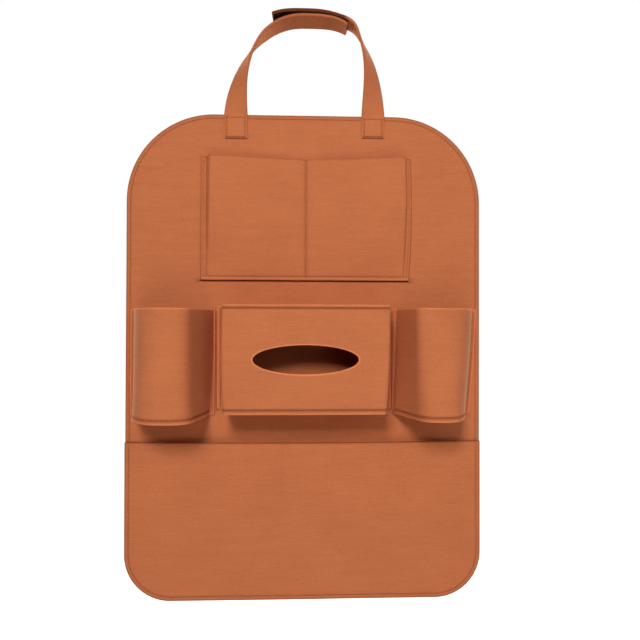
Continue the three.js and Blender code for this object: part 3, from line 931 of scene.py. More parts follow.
@dataclass
class BackPanel:
    """The large sheet that carries the pockets and the straps."""

    top_radius: float = 101.0 * MM
    bottom_radius: float = 53.0 * MM
    edge_to_seam: float = 4.6 * MM
    cell: tuple[float, float] = (7.0 * MM, 7.0 * MM)
    left_gap: float = -100.8 * MM
    right_gap: tuple[float, float] = (101.8 * MM, 100.2 * MM)
    gap_reach: tuple[float, float] = (-62.0 * MM, 50.0 * MM)
    through_seams: list[Seam] = field(default_factory=list)

    def pattern(self) -> RoundedRect:
        """Returns the panel's outline."""
        low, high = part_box("back_panel")
        radii = (self.bottom_radius, self.bottom_radius, self.top_radius, self.top_radius)
        return RoundedRect((low.x, low.z), (high.x, high.z), radii)

    @staticmethod
    def place(flat: np.ndarray) -> np.ndarray:
        """Returns places on the panel's middle layer."""
        x, z = flat.T
        return np.stack([x, sag(x, z) - HALF, z], 1)

    def painted_gap_shadows(self) -> list[Seam]:
        """Returns creases painted with shadow, in the gaps by the tissue pocket and under the upper
        pocket.
        """
        low, high = self.gap_reach
        wide = {"front": 0.3 * MM, "width": 2.2 * MM, "dark": 0.8}
        left = Seam.shaded_crease((self.left_gap, low), (self.left_gap, high), **wide)
        right = Seam.shaded_crease((self.right_gap[1], low), (self.right_gap[0], high), **wide)
        pocket_low, pocket_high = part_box("upper_pocket")
        under, end = pocket_low.z - 0.6 * MM, pocket_high.x - 2.0 * MM
        # A painted shadow line just under the upper pocket's lower edge
        narrow = {"front": 0.5 * MM, "width": 1.1 * MM, "dark": 1.4}
        below = Seam.shaded_crease((pocket_low.x, under), (end, under), **narrow)
        return [left, right, below]

    def build(self, makers: Makers) -> None:
        """Makes the panel, its edge seam and the undersides of the pockets' seams."""
        outline = self.pattern()
        loop = outline.loop(self.edge_to_seam)
        edge = Seam(loop, closed=True, front=0.4 * MM, stitched_back=True, dark=0.35)
        through = [seam.underside() for seam in self.through_seams]
        seams = [edge, *self.painted_gap_shadows(), *through]
        felt = FeltPiece("panel_felt", outline, self.place, seams, self.cell, **SHADED_RIM)
        piece = declare(felt.build(makers.finishes.felt), ["back_panel"])
        declare(makers.stitches.sew("panel_stitches", felt.stitch_lines()))


@dataclass
class LowerPocket:
    """The wide lower pocket, cut to the panel's own outline."""

    bottom_radius: float = 53.0 * MM
    seam_width: float = 8.0 * MM
    gape: float = 8.0 * MM
    edge_to_seam: float = 4.6 * MM
    cell: tuple[float, float] = (7.0 * MM, 7.0 * MM)

    def __post_init__(self) -> None:
        """Reads the solid's box."""
        self.low, self.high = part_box("lower_pocket")

    def place(self, flat: np.ndarray) -> np.ndarray:
        """Returns places on the pocket's middle layer, which stands off towards its open rim."""
        low, high = self.low, self.high
        x, z = flat.T
        across = np.clip(1.0 - (x / (high.x - self.seam_width)) ** 2, 0.0, 1.0)
        seam = low.z + self.seam_width
        up = np.clip((z - seam) / (high.z - seam), 0.0, 1.1)
        return np.stack([x, PANEL_FACE - HALF - self.gape * across * up**2 + sag(x, z), z], 1)

    def build(self, makers: Makers) -> None:
        """Makes the pocket and its seam."""
        low, high = self.low, self.high
        soft = 1.2 * MM
        radii = (self.bottom_radius, self.bottom_radius, soft, soft)
        outline = RoundedRect((low.x, low.z), (high.x, high.z), radii)
        loop = outline.loop(self.edge_to_seam)
        start = int(np.argmin(np.hypot(loop[:, 0] - low.x, loop[:, 1] - high.z)))
        turned = np.roll(loop, -start - 1, axis=0)
        end = int(np.argmin(np.hypot(turned[:, 0] - high.x, turned[:, 1] - high.z)))
        seam = Seam(turned[: end + 1], front=0.4 * MM, dark=0.35)
        felt = FeltPiece("lower_pocket_felt", outline, self.place, [seam], self.cell, **SHADED_RIM)
        piece = declare(felt.build(makers.finishes.felt), ["lower_pocket"])
        declare(makers.stitches.sew("lower_pocket_stitches", felt.stitch_lines()))


@dataclass
class UpperPocket:
    """The upper pocket: one sheet with a pleat on each side, sewn down along its middle."""

    flange: float = 6.0 * MM
    stand_off: float = 9.6 * MM
    closed_band: float = 6.0 * MM
    swell_height: float = 92.0 * MM
    swell_power: float = 0.8
    right_bow: tuple[float, float, float] = (-0.9 * MM, 2.6 * MM, 1.0 * MM)
    dip: float = 2.5 * MM
    slant: float = 2.5 * MM
    left_pull: float = 2.6 * MM
    right_pull: float = 2.0 * MM
    bottom_to_seam: float = 4.6 * MM
    fold_softness: float = 2.6 * MM
    cell: tuple[float, float] = (4.5 * MM, 5.0 * MM)

    def __post_init__(self) -> None:
        """Reads the solid's box."""
        low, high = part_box("upper_pocket")
        self.middle = (low.x + high.x) / 2
        self.wall = (high.x - low.x) / 2 - self.flange - HALF
        self.bottom, self.top = low.z, high.z

    def sharp(self, along: np.ndarray, z: np.ndarray) -> tuple[np.ndarray, np.ndarray]:
        """Returns X from the middle and the distance from the panel, before the folds are rounded.

        Args:
            along: Places along the strip from its middle.
            z: Their heights.

        Returns:
            The two distances.
        """
        wall, bottom, top = self.wall, self.bottom, self.top
        side = np.sign(along)
        reach = np.abs(along)
        front = wall - self.slant
        swell = smooth_step((z - bottom - self.closed_band) / self.swell_height)
        share = np.clip(reach / front, 0.0, 1.0)
        depth = self.stand_off * swell * share**self.swell_power
        back = np.clip((reach - front) / self.stand_off, 0.0, 1.0)
        flange = np.maximum(reach - front - self.stand_off, 0.0)
        x = np.minimum(reach, front) + (wall - front) * back + flange
        up = np.clip((z - bottom) / (top - bottom), 0.0, 1.0)
        pull = np.where(side > 0, self.right_pull, self.left_pull) * up * share * (1.0 - back)
        pull += np.where(side > 0, bow(up, self.right_bow), 0.0) * share**4
        return side * x + pull, depth * (1.0 - back)

    def place(self, flat: np.ndarray) -> np.ndarray:
        """Returns places on the pocket's middle layer."""
        middle, wall, bottom, top = self.middle, self.wall, self.bottom, self.top
        along, z = flat.T
        offsets = np.linspace(-1.0, 1.0, 11) * self.fold_softness
        both = [self.sharp(along + offset, z) for offset in offsets]
        x = sum(b[0] for b in both) / len(offsets)
        depth = sum(b[1] for b in both) / len(offsets)
        swell_top = bottom + self.closed_band + self.swell_height
        up = np.clip((z - swell_top) / (top - swell_top), 0.0, 1.0)
        dipped = z - self.dip * np.clip(1.0 - np.abs(x) / wall, 0.0, 1.0) * up
        return np.stack([middle + x, PANEL_FACE - HALF - depth + sag(middle + x, z), dipped], 1)

    @staticmethod
    def painted_highlight_line(half: float, height: float) -> Seam:
        """Returns a line of painted highlight along a sewn lower edge."""
        flat = {"front": 0.0, "back": 0.0, "stitched_front": False}
        return Seam.line((-half, height), (half, height), dark=-0.4, **flat)

    def build(self, makers: Makers) -> list[Seam]:
        """Makes the pocket and its seams.

        Args:
            makers: The finishes and the stitches.

        Returns:
            The seams as they go through the panel.
        """
        middle, wall, bottom, top = self.middle, self.wall, self.bottom, self.top
        half = wall - self.slant + self.stand_off + HALF + self.flange
        soft = 1.0 * MM
        outline = RoundedRect((-half, bottom), (half, top), (soft,) * 4)
        edge = self.flange / 2
        inside = half - edge
        low_seam = bottom + self.bottom_to_seam
        seams = [
            Seam.line((-inside, top - soft), (-inside, low_seam), dark=0.15),
            Seam.line((-inside, low_seam), (inside, low_seam), dark=0.4),
            Seam.line((inside, low_seam), (inside, top - soft), dark=0.15),
            Seam.line((0.0, low_seam), (0.0, top - soft), width=2.6 * MM, dark=0.35),
            # A painted highlight along the lower edge
            self.painted_highlight_line(half, bottom + 1.9 * MM),
        ]
        shaded_crease = half - self.flange - HALF
        # Creases at the pleats' inner folds, with painted shade in the crevice
        for side in (-1, 1):
            ends = [(side * shaded_crease, low_seam + 2 * MM), (side * shaded_crease, top - soft)]
            seams.append(Seam.shaded_crease(*ends, width=1.5 * MM, dark=0.5))
        folds = [side * (wall - self.slant + step) for side in (-1, 1) for step in (0.0, self.stand_off)]
        # Painted shade along the rim and cut edge
        rim = {"rim_shading": 0.35, "edge_shading": 0.9}
        felt = FeltPiece("upper_pocket_felt", outline, self.place, seams, self.cell, folds, **rim)
        piece = declare(felt.build(makers.finishes.felt), ["upper_pocket"])
        declare(makers.stitches.sew("upper_pocket_stitches", felt.stitch_lines()))
        outer = wall + HALF + self.flange - edge
        return [
            Seam.line((middle - outer, top), (middle - outer, low_seam)),
            Seam.line((middle - outer, low_seam), (middle + outer, low_seam)),
            Seam.line((middle + outer, low_seam), (middle + outer, top)),
            Seam.line((middle, low_seam), (middle, top - self.dip - soft)),
        ]


def tray(
    name: str,
    ring_at: Callable[[float], np.ndarray],
    rim: float,
    low: float,
    material: bpy.types.Material,
) -> bpy.types.Object:
    """Makes a base: a felt plate whose rim is turned down all round.

    Args:
        name: The piece's name.
        ring_at: Gives the outline in X and Y at an inset.
        rim: How far the rim reaches below the plate's underside.
        low: The rim's lower edge.
        material: The felt's finish.

    Returns:
        The mesh object.
    """
    under = low + rim
    top = under + FELT
    profile = [
        (FELT + 6.0 * MM, under), (FELT + 1.6 * MM, under), (FELT + 0.5 * MM, under - 0.4 * MM),
        (FELT, under - 1.4 * MM), (FELT, low + 0.7 * MM), (FELT - 0.6 * MM, low + 0.1 * MM),
        (HALF, low), (0.6 * MM, low + 0.1 * MM), (0.0, low + 0.7 * MM), (0.0, top - 2.6 * MM),
        (0.5 * MM, top - 1.0 * MM), (1.4 * MM, top - 0.25 * MM), (3.0 * MM, top), (FELT + 6.0 * MM, top),
    ]
    shape = bmesh.new()
    rings = []
    for inset, height in profile:
        ring = ring_at(inset)
        rings.append([shape.verts.new((x, y, height)) for x, y in ring])
    for ring, after in zip(rings, rings[1:]):
        for i in range(len(ring)):
            j = (i + 1) % len(ring)
            shape.faces.new((ring[i], ring[j], after[j], after[i]))
    caps = [shape.faces.new(rings[0]), shape.faces.new(rings[-1][::-1])]
    bmesh.ops.triangulate(shape, faces=caps)
    bmesh.ops.recalc_face_normals(shape, faces=shape.faces)
    cloth = shape.loops.layers.uv.new(CLOTH_UV)
    for face in shape.faces:
        for corner in face.loops:
            corner[cloth].uv = corner.vert.co.xy
    mesh = bpy.data.meshes.new(name)
    shape.to_mesh(mesh)
    shape.free()
    face_outwards(mesh)
    coordinates = np.zeros(len(mesh.vertices) * 3)
    mesh.vertices.foreach_get("co", coordinates)
    # Painted shade on the rim's lower cut edge, partly the cut felt's own tone
    cut = (coordinates[2::3] < low + 0.65 * MM).astype(float)
    mesh.attributes.new(CUT_EDGE_SHADE, "FLOAT", "POINT").data.foreach_set("value", cut)
    mesh.attributes.new(PRESS_AND_SHADE, "FLOAT", "POINT")
    mesh.shade_smooth()
    mesh.materials.append(material)
    return link(mesh, name)


def inset_ring(points: np.ndarray, inset: float) -> np.ndarray:
    """Returns a closed outline moved inwards, with mitred corners.

    Args:
        points: The outline, anticlockwise.
        inset: The distance.

    Returns:
        The new outline, with as many points.
    """
    edges = np.roll(points, -1, axis=0) - points
    edges /= np.linalg.norm(edges, axis=1)[:, None]
    normals = np.stack([-edges[:, 1], edges[:, 0]], 1)
    before = np.roll(normals, 1, axis=0)
    mitre = before + normals
    scale = inset / (1.0 + np.sum(before * normals, axis=1))
    return points + mitre * scale[:, None]


def ring_area(points: np.ndarray) -> float:
    """Returns the area inside a closed outline."""
    after = np.roll(points, -1, axis=0)
    return abs(float(np.sum(points[:, 0] * after[:, 1] - after[:, 0] * points[:, 1]))) / 2


def declare_base(
    piece: bpy.types.Object, ring: np.ndarray, rim: float, node: str
) -> None:
    """Attaches a base and hides its solid, and works out the flat area that it was cut to, which is not
    used.

    Args:
        piece: The base.
        ring: Its outline seen from above.
        rim: How far its rim is turned down.
        node: The solid that it stands for.
    """
    declare(piece, [node])
    cut = ring_area(inset_ring(ring, -(rim + HALF)))


@dataclass
class TissuePocket:
    """The box-shaped pocket with the oval slot: its wrap, its base and its top flap."""

    flange: float = 8.0 * MM
    left_flange: float = 10.3 * MM
    right_flange: float = 8.3 * MM
    oval_width: float = 114.0 * MM
    oval_height: float = 31.5 * MM
    oval_middle: tuple[float, float] = (1.45 * MM, -1.35 * MM)
    rim: float = 4.5 * MM
    top_seam: float = 3.7 * MM
    bottom_seam: float = 5.0 * MM
    left_bulge: tuple[float, float, float] = (2.1 * MM, 0.0, 1.3 * MM)
    right_bulge: tuple[float, float, float] = (-2.7 * MM, 0.7 * MM, 1.7 * MM)
    belly: float = 0.7 * MM

    def __post_init__(self) -> None:
        """Reads the solid's box and lays out the strip's path across the pocket."""
        self.low, self.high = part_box("tissue_pocket_wrap")
        self.middle = (self.low.x + self.high.x) / 2
        flange_end = (self.high.x - self.low.x) / 2
        self.wall = flange_end - self.flange - HALF
        self.depth = PANEL_FACE - self.low.y - FELT
        left_end = -self.wall - HALF - self.left_flange
        right_end = self.wall + HALF + self.right_flange
        corners = [
            (left_end, 0.0), (-self.wall, 0.0), (-self.wall, self.depth),
            (self.wall, self.depth), (self.wall, 0.0), (right_end, 0.0),
        ]
        self.path = SoftPath(np.array(corners))
        self.start = -(self.left_flange + HALF + self.depth + self.wall)

    def place(self, flat: np.ndarray) -> np.ndarray:
        """Returns places on the wrap's middle layer."""
        along, z = flat.T
        across, out = self.path.at(along - self.start).T
        up = (z - self.low.z) / (self.high.z - self.low.z)
        forward = np.clip(out / self.depth, 0.0, 1.0)
        bulge = np.zeros(len(z))
        for side, values in ((-1, self.left_bulge), (1, self.right_bulge)):
            share = np.clip(side * across / self.wall, 0.0, 1.0) ** 3
            bulge += bow(up, values) * share * forward
        x = self.middle + across + bulge
        belly = self.belly * np.cos(np.clip(across / self.wall, -1, 1) * math.pi / 2) * forward**4
        return np.stack([x, PANEL_FACE - HALF - out - belly + sag(x, z) * (1 - forward), z], 1)

    def build(self, makers: Makers) -> list[Seam]:
        """Makes the wrap, the base and the flap.

        Args:
            makers: The finishes and the stitches.

        Returns:
            The seams that go through the panel.
        """
        soft = 1.0 * MM
        start, end = self.start, self.start + self.path.length
        outline = RoundedRect((start, self.low.z), (end, self.high.z), (soft,) * 4)
        oval_middle = (self.oval_middle[0] - self.middle, self.oval_middle[1])
        oval = Ellipse(oval_middle, self.oval_width / 2, self.oval_height / 2)
        foot = self.wall + self.depth
        reach = foot - 4.0 * MM
        low_seam, high_seam = self.low.z + self.bottom_seam, self.high.z - self.top_seam
        front = self.wall - 0.5 * MM
        low, high = self.low.z + soft, self.high.z - soft
        left_edge, right_edge = start + self.flange / 2, end - self.flange / 2
        seams = [
            Seam.line((left_edge, low), (left_edge, high), dark=0.5),
            Seam.line((right_edge, low), (right_edge, high), dark=0.5),
            # Creases at the walls' feet, with painted shade in the crevice
            Seam.shaded_crease((-foot, low), (-foot, high)),
            Seam.shaded_crease((foot, low), (foot, high)),
            Seam.line((-reach, low_seam), (reach, low_seam), front=0.85 * MM, dark=1.2),
            Seam.line((-front, high_seam), (front, high_seam), front=0.85 * MM, dark=1.2),
        ]
        folds = [side * at for side in (-1, 1) for at in (self.wall, foot)]
        cell = (5.0 * MM, 6.0 * MM)
        felt = FeltPiece("tissue_pocket_felt", outline, self.place, seams, cell, folds, oval)
        piece = declare(felt.build(makers.finishes.felt), ["tissue_pocket_wrap"])
        declare(makers.stitches.sew("tissue_pocket_stitches", felt.stitch_lines()))
        self.build_base(makers)
        self.build_flap(makers)
        left = self.middle - self.wall - HALF - self.left_flange + self.flange / 2
        right = self.middle + self.wall + HALF + self.right_flange - self.flange / 2
        return [Seam.line((x, self.low.z), (x, self.high.z)) for x in (left, right)]

    def build_base(self, makers: Makers) -> None:
        """Makes the base with its turned-down rim."""
        low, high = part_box("tissue_pocket_base")
        plan = RoundedRect((low.x, low.y), (high.x, high.y), (2.5 * MM,) * 4, 5.0 * MM)
        ring = plan.loop(0.0)
        felt = makers.finishes.felt
        piece = tray("tissue_base_felt", lambda inset: inset_ring(ring, inset), self.rim, low.z, felt)
        declare_base(piece, ring, self.rim, "tissue_pocket_base")

    def build_flap(self, makers: Makers) -> None:
        """Makes the top flap, from its tab behind the tapes to the rim that is sewn to the front."""
        low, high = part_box("tissue_pocket_flap")
        level = high.z - self.rim
        back, front = high.y - HALF, low.y + HALF
        corners = [(back, low.z), (back, level - HALF), (front, level - HALF), (front, high.z)]
        path = SoftPath(np.array(corners))
        middle = (low.x + high.x) / 2
        half = (high.x - low.x) / 2
        outline = RoundedRect((-half, 0.0), (half, path.length), (1.0 * MM,) * 4)

        def place(flat: np.ndarray) -> np.ndarray:
            """Returns places on the flap's middle layer."""
            across, along = flat.T
            y, z = path.at(along).T
            return np.stack([middle + across, y, z], 1)

        row, end = (level - low.z) * 0.25, half - 4 * MM
        seams = [Seam.line((-end, row), (end, row), stitched_back=True)]
        felt = FeltPiece("tissue_flap_felt", outline, place, seams, (8.0 * MM, 1.8 * MM))
        piece = declare(felt.build(makers.finishes.felt), ["tissue_pocket_flap"])


@dataclass(frozen=True)
class Section:
    """A bottle pocket's inner face from above, with X outwards and Y forwards from the panel."""

    edge: float
    inner: float
    outer: float
    crown: float
    depth: float
    inner_lean: float = 8.0 * MM
    inner_corner: float = 16.0 * MM
    outer_lean: float = 4.0 * MM
    outer_knee: float = 27.0 * MM
    outer_corner: float = 16.0 * MM
    fullness: float = 0.8

    WALL_POINTS = 16
    CURVE_POINTS = 40

    def inside(self) -> np.ndarray:
        """Returns the bend from the inner wall's foot, over the crown, to the outer wall's foot."""
        start = np.array([self.inner, 0.0])
        shoulder = np.array([self.inner + self.inner_lean, self.depth - self.inner_corner])
        crown = np.array([self.crown, self.depth])
        on_wall = shoulder + (shoulder - start) * self.inner_corner * self.fullness / shoulder[1]
        on_front = np.array([crown[0] + (shoulder[0] - crown[0]) * self.fullness, self.depth])
        far = np.array([self.outer - self.outer_corner, self.depth])
        knee = np.array([self.outer - self.outer_lean, self.outer_knee])
        end = np.array([self.outer, 0.0])
        wall = start + (shoulder - start) * np.linspace(0.0, 1.0, self.WALL_POINTS)[:-1, None]
        first = self.curve(shoulder, on_wall, on_front, crown)
        return np.concatenate([wall, first[:-1], self.curve(crown, far, knee, end)])

    def curve(self, a: np.ndarray, b: np.ndarray, c: np.ndarray, d: np.ndarray) -> np.ndarray:
        """Returns points on a cubic curve."""
        t = np.linspace(0.0, 1.0, self.CURVE_POINTS)[:, None]
        return a * (1 - t) ** 3 + 3 * b * t * (1 - t) ** 2 + 3 * c * t * t * (1 - t) + d * t**3

    def moved_out(self, distance: float) -> np.ndarray:
        """Returns the bend moved outwards, with its two feet kept on the panel."""
        points = self.inside()
        along = np.gradient(points, axis=0)
        along /= np.linalg.norm(along, axis=1)[:, None]
        moved = points + np.stack([-along[:, 1], along[:, 0]], 1) * distance
        moved[0, 1] = moved[-1, 1] = 0.0
        return moved

    def strip(self, flange: float) -> SoftPath:
        """Returns the felt's middle layer from one flange's edge to the other's."""
        middle = self.moved_out(HALF)
        middle[0, 1] = middle[-1, 1] = HALF
        ends = [(self.edge, HALF), *middle, (middle[-1, 0] + HALF + flange, HALF)]
        return SoftPath(np.array(ends), 1.8 * MM)


@dataclass
class BottlePocket:
    """A bottle pocket: a bent sheet with sewn flanges, held open below by a D-shaped base."""

    side: Side
    mouth: Section
    foot: Section
    flange: float = 5.0 * MM
    rim: float = 4.5 * MM
    bottom_seam: float = 4.6 * MM
    seam_gap: float = 0.3 * MM
    top_lift: float = 0.0
    bottom_lift: float = 0.0
    ease: float = 1.5
    sag_reach: float = 25.0 * MM

    def __post_init__(self) -> None:
        """Reads the solid's box and lays out the strip at both ends."""
        self.hand = self.side.name.lower()
        low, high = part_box(f"bottle_pocket_wrap_{self.hand}")
        self.bottom, self.top = low.z + self.bottom_lift, high.z + self.top_lift
        self.top_strip = self.mouth.strip(self.flange)
        self.bottom_strip = self.foot.strip(self.flange)
        self.length = (self.top_strip.length + self.bottom_strip.length) / 2

    def place(self, flat: np.ndarray) -> np.ndarray:
        """Returns places on the wrap's middle layer."""
        along, z = flat.T
        share = (along if self.side is Side.RIGHT else self.length - along) / self.length
        down = np.clip((self.top - z) / (self.top - self.bottom), 0.0, 1.0)[:, None] ** self.ease
        top = self.top_strip.at(share * self.top_strip.length)
        bottom = self.bottom_strip.at(share * self.bottom_strip.length)
        across, out = (top + (bottom - top) * down).T
        x = across * self.side.value
        forward = np.clip(out / self.sag_reach, 0.0, 1.0)
        return np.stack([x, PANEL_FACE - out + sag(x, z) * (1 - forward), z], 1)

    def build(self, makers: Makers) -> list[Seam]:
        """Makes the wrap and the base.

        Args:
            makers: The finishes and the stitches.

        Returns:
            The seams that go through the panel.
        """
        length = self.length
        soft = 1.0 * MM
        outline = RoundedRect((0.0, self.bottom), (length, self.top), (soft,) * 4)
        low, high = self.bottom + soft, self.top - soft
        low_seam = self.bottom + self.bottom_seam
        inner_flange = self.mouth.inner - HALF - self.mouth.edge
        edges = self.from_inner_end(inner_flange / 2, length - self.flange / 2)
        folds = self.from_inner_end(inner_flange, length - self.flange - HALF)
        clear = 4.0 * MM
        seams = [Seam.line((at, low), (at, high), dark=0.3) for at in edges]
        # Creases at the folds, with painted shade in the crevice
        seams += [Seam.shaded_crease((at, low), (at, high)) for at in folds]
        ends = (folds[0] + clear, low_seam), (folds[1] - clear, low_seam)
        seams.append(Seam.line(*ends, front=0.85 * MM, dark=1.1))
        name, node = f"bottle_pocket_felt_{self.hand}", f"bottle_pocket_wrap_{self.hand}"
        felt = FeltPiece(name, outline, self.place, seams, (2.6 * MM, 6.0 * MM), folds)
        piece = declare(felt.build(makers.finishes.felt), [node])
        thread = f"bottle_pocket_stitches_{self.hand}"
        declare(makers.stitches.sew(thread, felt.stitch_lines()))
        self.build_base(makers, name)
        rows = [felt.place(np.array([(at, low), (at, high)])) for at in edges]
        return [Seam(row[:, [0, 2]]) for row in rows]

    def from_inner_end(self, *places: float) -> list[float]:
        """Returns places on the strip, given from its inner end, in the order in which it is laid out."""
        if self.side is Side.RIGHT:
            return list(places)
        return [self.length - place for place in reversed(places)]

    def build_base(self, makers: Makers, held_in: str) -> None:
        """Makes the D-shaped base with its turned-down rim."""
        inside = self.foot.moved_out(-self.seam_gap)[::2]
        ring = np.stack([inside[:, 0] * self.side.value, PANEL_FACE - inside[:, 1]], 1)
        after = np.roll(ring, -1, axis=0)
        if np.sum(ring[:, 0] * after[:, 1] - after[:, 0] * ring[:, 1]) < 0:
            ring = ring[::-1]
        name = f"bottle_base_felt_{self.hand}"
        felt = makers.finishes.felt
        piece = tray(name, lambda inset: inset_ring(ring, inset), self.rim, self.bottom, felt)
        declare_base(piece, ring, self.rim, f"bottle_pocket_base_{self.hand}")


@dataclass(frozen=True)
class Quarter:
    """A quarter of a rounded arch: half its width, its height, and how square it is."""

    half: float
    height: float
    power: float


@dataclass
class Arch:
    """The middle line of one strap above the panel, drawn for the strap that rises on the left."""

    rise: Quarter
    run: Quarter
    reach: float
    sewn: float
    top: float
    lap: float = 50.0 * MM
    quarter_turn: float = 89.0
    crown_tilt: float = 6.5
    turn_ease: float = 0.67
    end_twist: float = 0.0
    end_lift: float = 0.0
    foot_shift: float = 0.0
    kink: float = 0.0
    kink_place: float = 57.0 * MM
    kink_width: float = 14.0 * MM
    held_length: float = 20 * MM
    samples: int = 1600
    stations: int = 400

    def __post_init__(self) -> None:
        """Measures the arch and keeps its stations."""
        rise, run = self.rise, self.run
        last = math.pi - math.acos((self.reach / run.half) ** (run.power / 2))
        angle = np.linspace(0.0, last, self.samples)
        rising = angle < math.pi / 2
        half = np.where(rising, rise.half, run.half)
        height = np.where(rising, rise.height, run.height)
        power = np.where(rising, rise.power, run.power)
        cosine, sine = np.cos(angle), np.sin(angle)
        x = -half * np.sign(cosine) * np.abs(cosine) ** (2 / power)
        z = self.top + height * np.abs(sine) ** (2 / power)
        lengths = np.r_[0.0, np.cumsum(np.hypot(np.diff(x), np.diff(z)))]
        self.to_top = float(np.interp(math.pi / 2, angle, lengths))
        self.length = float(lengths[-1])
        self.lengths = np.linspace(0.0, self.length, self.stations)
        self.x = np.interp(self.lengths, lengths, x)
        self.z = np.interp(self.lengths, lengths, z)
        bend = self.kink * bell(self.lengths - self.to_top + self.kink_place, self.kink_width)
        self.x, self.z = (
            self.x - bend * np.gradient(self.z, self.lengths),
            self.z + bend * np.gradient(self.x, self.lengths),
        )
        self.along_x = np.gradient(self.x, self.lengths)
        self.along_z = np.gradient(self.z, self.lengths)

    def turn(self, length: np.ndarray) -> np.ndarray:
        """Returns how far the strap has turned from facing forwards, in radians."""
        rising = np.clip(length / (self.to_top - self.lap), 0.0, 1.0) ** self.turn_ease
        from_top = (length - self.to_top) / self.lap
        crown = self.crown_tilt * np.clip(1 - from_top**2, 0.0, None)
        return np.radians(self.quarter_turn * rising + crown + self.end_twist * self.towards_end(length))

    def towards_end(self, length: np.ndarray) -> np.ndarray:
        """Returns how near a place is to the free end, from 0 at the top to 1 at the end."""
        return smooth_step((length - self.to_top) / (self.length - self.to_top))

    def place(self, flat: np.ndarray, side: float, out: float = 0.0) -> np.ndarray:
        """Returns places on the strap, from its sewn end below the panel's top edge along the arch.

        Args:
            flat: Distances across and along the strap, with the panel's top edge at 0.
            side: 1 for the strap that rises on the left, -1 for the other.
            out: How far out of the loop the places lie.

        Returns:
            The places.
        """
        across, length = flat[:, 0] * side, flat[:, 1]
        free = np.clip(length, 0.0, self.length)
        x = np.interp(free, self.lengths, self.x)
        z = np.interp(free, self.lengths, self.z)
        along_x = np.interp(free, self.lengths, self.along_x)
        along_z = np.interp(free, self.lengths, self.along_z)
        size = np.hypot(along_x, along_z)
        along_x, along_z = along_x / size, along_z / size
        past = np.maximum(length - self.length, 0.0)
        x, z = x + past * along_x, z + np.minimum(length, 0.0) + past * along_z
        turn = self.turn(free)
        wide = np.stack([along_z * np.cos(turn), -np.sin(turn), -along_x * np.cos(turn)], 1)
        along = np.stack([along_x, np.zeros(len(x)), along_z], 1)
        outward = np.cross(wide, along)
        low = np.clip(1.0 - free / self.rise.height, 0.0, 1.0)
        middle = np.stack([x + self.foot_shift * low, np.full(len(x), PANEL_FACE - HALF), z], 1)
        lifted = out + self.end_lift * self.towards_end(free)
        result = middle + wide * across[:, None] + outward * lifted[:, None]
        held = np.clip(1 - free / self.held_length, 0, 1)
        result[:, 1] += sag(result[:, 0] * side, np.minimum(z, self.top)) * held
        result[:, 0] *= side
        return result


